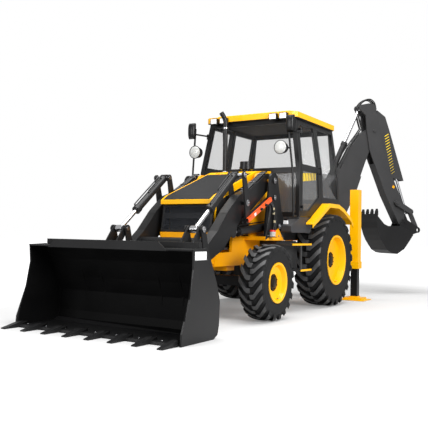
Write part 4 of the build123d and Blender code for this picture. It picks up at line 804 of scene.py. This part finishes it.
def make_seat():
    """Padded operator's seat: cushion and back with sewn channels."""
    for name, centre, size, tilt, fill in (
            ("seat_cushion", (0, -235, 1462), (0.47, 0.46, 0.12), -4.0, 0.7),
            ("seat_back", (0, 88, 1800), (0.46, 0.11, 0.62), -8.0, 0.7)):
        mesh = bpy.data.meshes.new(name)
        form = bmesh.new()
        bmesh.ops.create_cube(form, size=1.0)
        bmesh.ops.scale(form, vec=size, verts=form.verts)
        bmesh.ops.subdivide_edges(form, edges=form.edges, cuts=7, use_grid_fill=True)
        half = [s / 2 for s in size]
        thin = size.index(min(size))
        for vert in form.verts:
            share = [abs(vert.co[i]) / half[i] for i in range(3)]
            others = [share[i] for i in range(3) if i != thin]
            crown = (1 - others[0] ** 4) * (1 - others[1] ** 4)
            vert.co[thin] *= 0.55 + 0.45 * crown
            for i in range(3):
                if i != thin:
                    vert.co[i] *= 1.0 - 0.05 * share[thin]
            channel = abs(vert.co.x) / half[0]
            if 0.48 < channel < 0.62:
                vert.co[thin] *= 0.90
        form.to_mesh(mesh)
        form.free()
        obj = bpy.data.objects.new(name, mesh)
        bpy.context.scene.collection.objects.link(obj)
        turn = Matrix.Rotation(math.radians(tilt), 4, "X")
        mesh.transform(Matrix.Translation(at(*centre)) @ turn)
        mesh.materials.append(MATERIALS["seat_fabric"])
        mesh.polygons.foreach_set("use_smooth", [True] * len(mesh.polygons))
        round_off = obj.modifiers.new("round", "SUBSURF")
        round_off.levels = 2
        round_off.render_levels = 2
        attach(obj, "chassis")
        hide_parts("operator_seat")


# Plane of each loader arm, and the linkage's places, (forward, up)
ARM_X = 545
ARM_PIVOT = (1660.0, 1800.0)
LINK_REAR = (1652.0, 1574.0)
LIFT_BASE = (1500.0, 1190.0)
LEVER_PIVOT = (2366.0, 1468.0)
LEVER_HEAD = (2455.0, 1812.0)
RAM_EYE = (3345.0, 1120.0)
LIFT_EYE = (2560.0, 1090.0)
BUCKET_PIVOT = (3600.0, 330.0)


def make_pin_caps():
    """Keeper plates and bolts on the ends of the loader's pins."""
    # (place, outer end of the pin, radius of the cap, body)
    table = ((ARM_PIVOT, 709, 38, "chassis"), (LINK_REAR, 709, 34, "chassis"), (LIFT_BASE, 709, 36, "chassis"),
             (LEVER_PIVOT, 685, 40, "level_levers"), (LEVER_HEAD, 691, 34, "ram_base_pins"),
             (RAM_EYE, 671, 34, "ram_eye_pins"), (BUCKET_PIVOT, 701, 42, "bucket_hinge_pins"))
    for number, (place, x, radius, body) in enumerate(table):
        build = Build()
        for _, sign in SIDES:
            centre = at(sign * x, -place[0], place[1])
            axis = Vector((sign, 0, 0))
            build.lathe([(0, radius), (7, radius), (9, radius - 3), (9, 2)], centre, axis, 28)
            build.hexes([centre + axis * 0.009], axis, 13, 12)
        build.piece(f"pin_caps_{number}", "pin_steel", body)


def ram_line(build, base, eye, x, start, stop, off):
    """Line along a ram's barrel, bent down to it at both ends."""
    length = math.hypot(eye[0] - base[0], eye[1] - base[1])
    du, dz = (eye[0] - base[0]) / length, (eye[1] - base[1]) / length
    nu, nz = -dz, du
    if nz < 0:
        nu, nz = -nu, -nz

    def place(along, up):
        return at(x, -(base[0] + du * along + nu * up), base[1] + dz * along + nz * up)

    build.tube([place(start, 40), place(start + 6, off), place(start + 60, off + 6), place(stop - 60, off + 6),
                place(stop - 8, off), place(stop, 40)], 8, 8)


def make_ram_lines():
    tilt = Build()
    lift = Build()
    for _, sign in SIDES:
        for shift in (-18, 18):
            ram_line(tilt, LEVER_HEAD, RAM_EYE, sign * (ARM_X + shift), 90, 715 if shift > 0 else 420, 64)
        ram_line(lift, LIFT_BASE, LIFT_EYE, sign * ARM_X, 90, 845, 70)
    tilt.piece("tilt_ram_lines", "black_paint", "tilt_barrels")
    lift.piece("lift_ram_lines", "black_paint", "lift_barrels")


def make_arm_hoses():
    """Hose pairs along the arms' upper edge, clipped to them, and sleeved hoses down the towers' sides."""
    hoses = Build()
    clips = Build()
    for _, sign in SIDES:
        for shift in (-30, -8, 14, 36):
            x = sign * (ARM_X + shift)
            lift = 14 + abs(shift) * 0.1
            hoses.tube([at(x, -1650, 1905 + lift), at(x, -1712, 1895 + lift), at(x, -1960, 1760 + lift),
                        at(x, -2200, 1632 + lift), at(x, -2300, 1570 + lift), at(x, -2390, 1545 + lift)], 10, 8)
        for u, z in ((1780, 1858), (2010, 1732), (2200, 1634)):
            low, high = span(sign, 495, 597)
            clips.box((low, -u - 12, z + 6), (high, -u + 12, z + 12))
            clips.box((low, -u - 12, z + 27), (high, -u + 12, z + 33))
    hoses.piece("arm_hoses", "hose_rubber", "loader_arms")
    clips.piece("arm_hose_clips", "pin_steel", "loader_arms", 0.001)
    low_hoses = Build()
    sleeves = Build()
    for _, sign in SIDES:
        for number, (shift, lean) in enumerate(((0, 0), (22, 26), (44, 8))):
            low_hoses.tube([at(sign * 690, -(1752 - shift), 1500), at(sign * 712, -(1738 - shift), 1455),
                            at(sign * (716 + 4 * number), -(1704 - shift + lean), 1360),
                            at(sign * 718, -(1680 - shift), 1250), at(sign * 714, -(1700 - shift - lean), 1140),
                            at(sign * 680, -(1720 - shift), 1056)], 11, 8)
        for number in range(2):
            low_hoses.tube([at(sign * 690, -1770 - 20 * number, 1462), at(sign * 712, -1784 - 24 * number, 1415),
                            at(sign * 716, -1826 - 22 * number, 1300), at(sign * 706, -1858 - 8 * number, 1170),
                            at(sign * 680, -1862 - 8 * number, 1056)], 9, 8)
        for u, z in ((1704, 1360), (1680, 1250), (1712, 1420)):
            sleeves.lathe([(-16, 14), (-14, 16), (14, 16), (16, 14)], at(sign * 718, -u, z), (0, 0.1, 1), 14)
    low_hoses.piece("tower_hoses", "hose_rubber", "chassis")
    sleeves.piece("hose_sleeves", "sleeve_beige", "chassis")


def make_hoe_hoses():
    """Hose loops over the dipper's head, from the boom to the dipper."""
    loops = Build()
    for number, across in enumerate((-44, -22, 22, 44)):
        grow = 14 * (number % 2)
        loops.tube([hoe(905, 3090, across), hoe(842, 3290, across), hoe(830 - grow, 3450 + grow, across),
                    hoe(905 - grow, 3560 + grow, across), hoe(1010, 3628 + grow, across),
                    hoe(1110, 3634 + grow, across), hoe(1190, 3570 + grow, across), hoe(1222, 3470, across)],
                   10, 10)
    loops.piece("dipper_hose_loops", "hose_rubber",
                ("boom", "dipper", tuple(hoe(860, 3110, 0)), tuple(hoe(830, 3480, 0))))


def make_boom_lines():
    """Lines up the boom's back, spread to pass the dipper's ram."""
    lines = Build()
    for across, wide in ((-44, -78), (-22, -62), (22, 62), (44, 78)):
        lines.tube([hoe(418, 2330, wide), hoe(436, 2400, wide), hoe(560, 2618, wide),
                    hoe(690, 2815, across), hoe(826, 2984, across), hoe(905, 3090, across)], 8, 8)
    lines.piece("boom_lines", "hose_rubber", "boom")


def make_step_edges():
    """Yellow edges of the steps on the tanks."""
    edges = Build()
    for _, sign in SIDES:
        for z, low_u, high_u in ((957, 800, 1450), (595, 800, 1170)):
            low, high = span(sign, 868, 884)
            edges.box((low, -high_u, z - 24), (high, -low_u, z + 3))
    edges.piece("step_edges", "body_yellow", "chassis", 0.002)


def make_body_bolts():
    """Bolt heads on the towers, the leg tubes and the bucket's edge."""
    build = Build()
    for _, sign in SIDES:
        axis = Vector((sign, 0, 0))
        places = [at(sign * 695, -u, z) for u, z in ((1400, 1060), (1500, 1060), (1700, 1060), (1820, 1060),
                                                    (1840, 1180), (1400, 1180))]
        build.hexes(places, axis, 15, 11)
        build.hexes([at(sign * x, 1227, z) for x in (765, 915) for z in (560, 620)], (0, 1, 0), 14, 10)
    build.piece("frame_bolts", "pin_steel", "chassis")
    edge = Build()
    places = [at(-1000 + index * 143, -4360, 28) for index in range(15)]
    edge.hexes(places, (0, 0, 1), 16, 7)
    edge.piece("edge_bolts", "pin_steel", "loader_bucket")


# Floor: half its size and the half axes of its shadow patch, in metres, and its grey. Its glow, which only the
# camera sees, is FLOOR_GLOW up to GLOW_FROM times the patch and grows to full white at GLOW_TO times.
FLOOR_HALF = 60.0
FLOOR_REACH = (3.6, 5.4)
FLOOR_GREY = 0.50
FLOOR_GLOW = 0.16
GLOW_FROM, GLOW_TO = 0.9, 1.6
# Strength of the sky as a light; the camera, directly or through glass, sees it white
SKY_LIGHT = 0.45


def make_stage():
    size = FLOOR_HALF
    mesh = bpy.data.meshes.new("studio_floor")
    mesh.from_pydata([(-size, -size, 0), (size, -size, 0), (size, size, 0), (-size, size, 0)], [],
                     [(0, 1, 2, 3)])
    floor = bpy.data.objects.new("studio_floor", mesh)
    bpy.context.scene.collection.objects.link(floor)
    white = material("studio_white", (FLOOR_GREY, FLOOR_GREY, FLOOR_GREY), 0.9)
    shader = white.node_tree.nodes["Principled BSDF"]
    shader.inputs["Specular IOR Level"].default_value = 0.0
    nodes, links = white.node_tree.nodes, white.node_tree.links
    path = nodes.new("ShaderNodeLightPath")
    shader.inputs["Emission Color"].default_value = (1.0, 1.0, 1.0, 1.0)
    coords = nodes.new("ShaderNodeTexCoord")
    shrink = nodes.new("ShaderNodeMapping")
    shrink.inputs["Scale"].default_value = (1 / FLOOR_REACH[0], 1 / FLOOR_REACH[1], 0.0)
    links.new(coords.outputs["Object"], shrink.inputs["Vector"])
    away = nodes.new("ShaderNodeVectorMath")
    away.operation = "LENGTH"
    links.new(shrink.outputs["Vector"], away.inputs[0])
    glow = nodes.new("ShaderNodeMapRange")
    glow.inputs["From Min"].default_value = GLOW_FROM
    glow.inputs["From Max"].default_value = GLOW_TO
    glow.inputs["To Min"].default_value = FLOOR_GLOW
    glow.inputs["To Max"].default_value = 1.0
    links.new(away.outputs["Value"], glow.inputs["Value"])
    seen = nodes.new("ShaderNodeMath")
    seen.operation = "MULTIPLY"
    links.new(path.outputs["Is Camera Ray"], seen.inputs[0])
    links.new(glow.outputs["Result"], seen.inputs[1])
    links.new(seen.outputs[0], shader.inputs["Emission Strength"])
    mesh.materials.append(white)
    world = bpy.data.worlds.new("studio")
    world.use_nodes = True
    tree = world.node_tree
    background = tree.nodes["Background"]
    background.inputs["Color"].default_value = (1.0, 1.0, 1.0, 1.0)
    path = tree.nodes.new("ShaderNodeLightPath")
    seen = tree.nodes.new("ShaderNodeMath")
    seen.operation = "MAXIMUM"
    tree.links.new(path.outputs["Is Camera Ray"], seen.inputs[0])
    tree.links.new(path.outputs["Is Transmission Ray"], seen.inputs[1])
    strength = tree.nodes.new("ShaderNodeMapRange")
    strength.inputs["To Min"].default_value = SKY_LIGHT
    strength.inputs["To Max"].default_value = 1.0
    tree.links.new(seen.outputs[0], strength.inputs["Value"])
    tree.links.new(strength.outputs["Result"], background.inputs["Strength"])
    bpy.context.scene.world = world


def area(name, place, target, size, power):
    data = bpy.data.lights.new(name, "AREA")
    data.shape = "RECTANGLE"
    data.size, data.size_y = size
    data.energy = power
    lamp = bpy.data.objects.new(name, data)
    bpy.context.scene.collection.objects.link(lamp)
    lamp.location = place
    lamp.rotation_euler = (Vector(target) - Vector(place)).to_track_quat("-Z", "Y").to_euler()


# Soft boxes: name, place, target, size in metres, power in watts
SOFT_BOXES = (
    ("top_box", (0.5, -1.0, 9.0), (0, 0, 0), (9.0, 7.0), 1250),
    ("left_box", (9.0, -6.0, 5.0), (0, 0, 1.2), (5.0, 4.0), 1000),
    ("front_box", (-3.0, -12.0, 4.0), (0, 0, 1.0), (5.0, 3.0), 380),
)


def make_lights():
    for box in SOFT_BOXES:
        area(*box)


make_camera()
make_stage()
make_lights()
dress_nodes()
smooth_nodes()
for wheel in TYRES:
    for side, sign in SIDES:
        make_tyre(wheel, side, sign)
make_hub_covers()
make_hood_panels()
make_grille_mesh()
make_strut()
make_marks()
make_lamps()
make_exhaust_tip()
make_tank_panels()
make_wiper()
make_bowl()
make_seat()
make_pin_caps()
make_ram_lines()
make_arm_hoses()
make_hoe_hoses()
make_boom_lines()
make_step_edges()
make_body_bolts()

bpy.context.scene.view_settings.view_transform = "Standard"
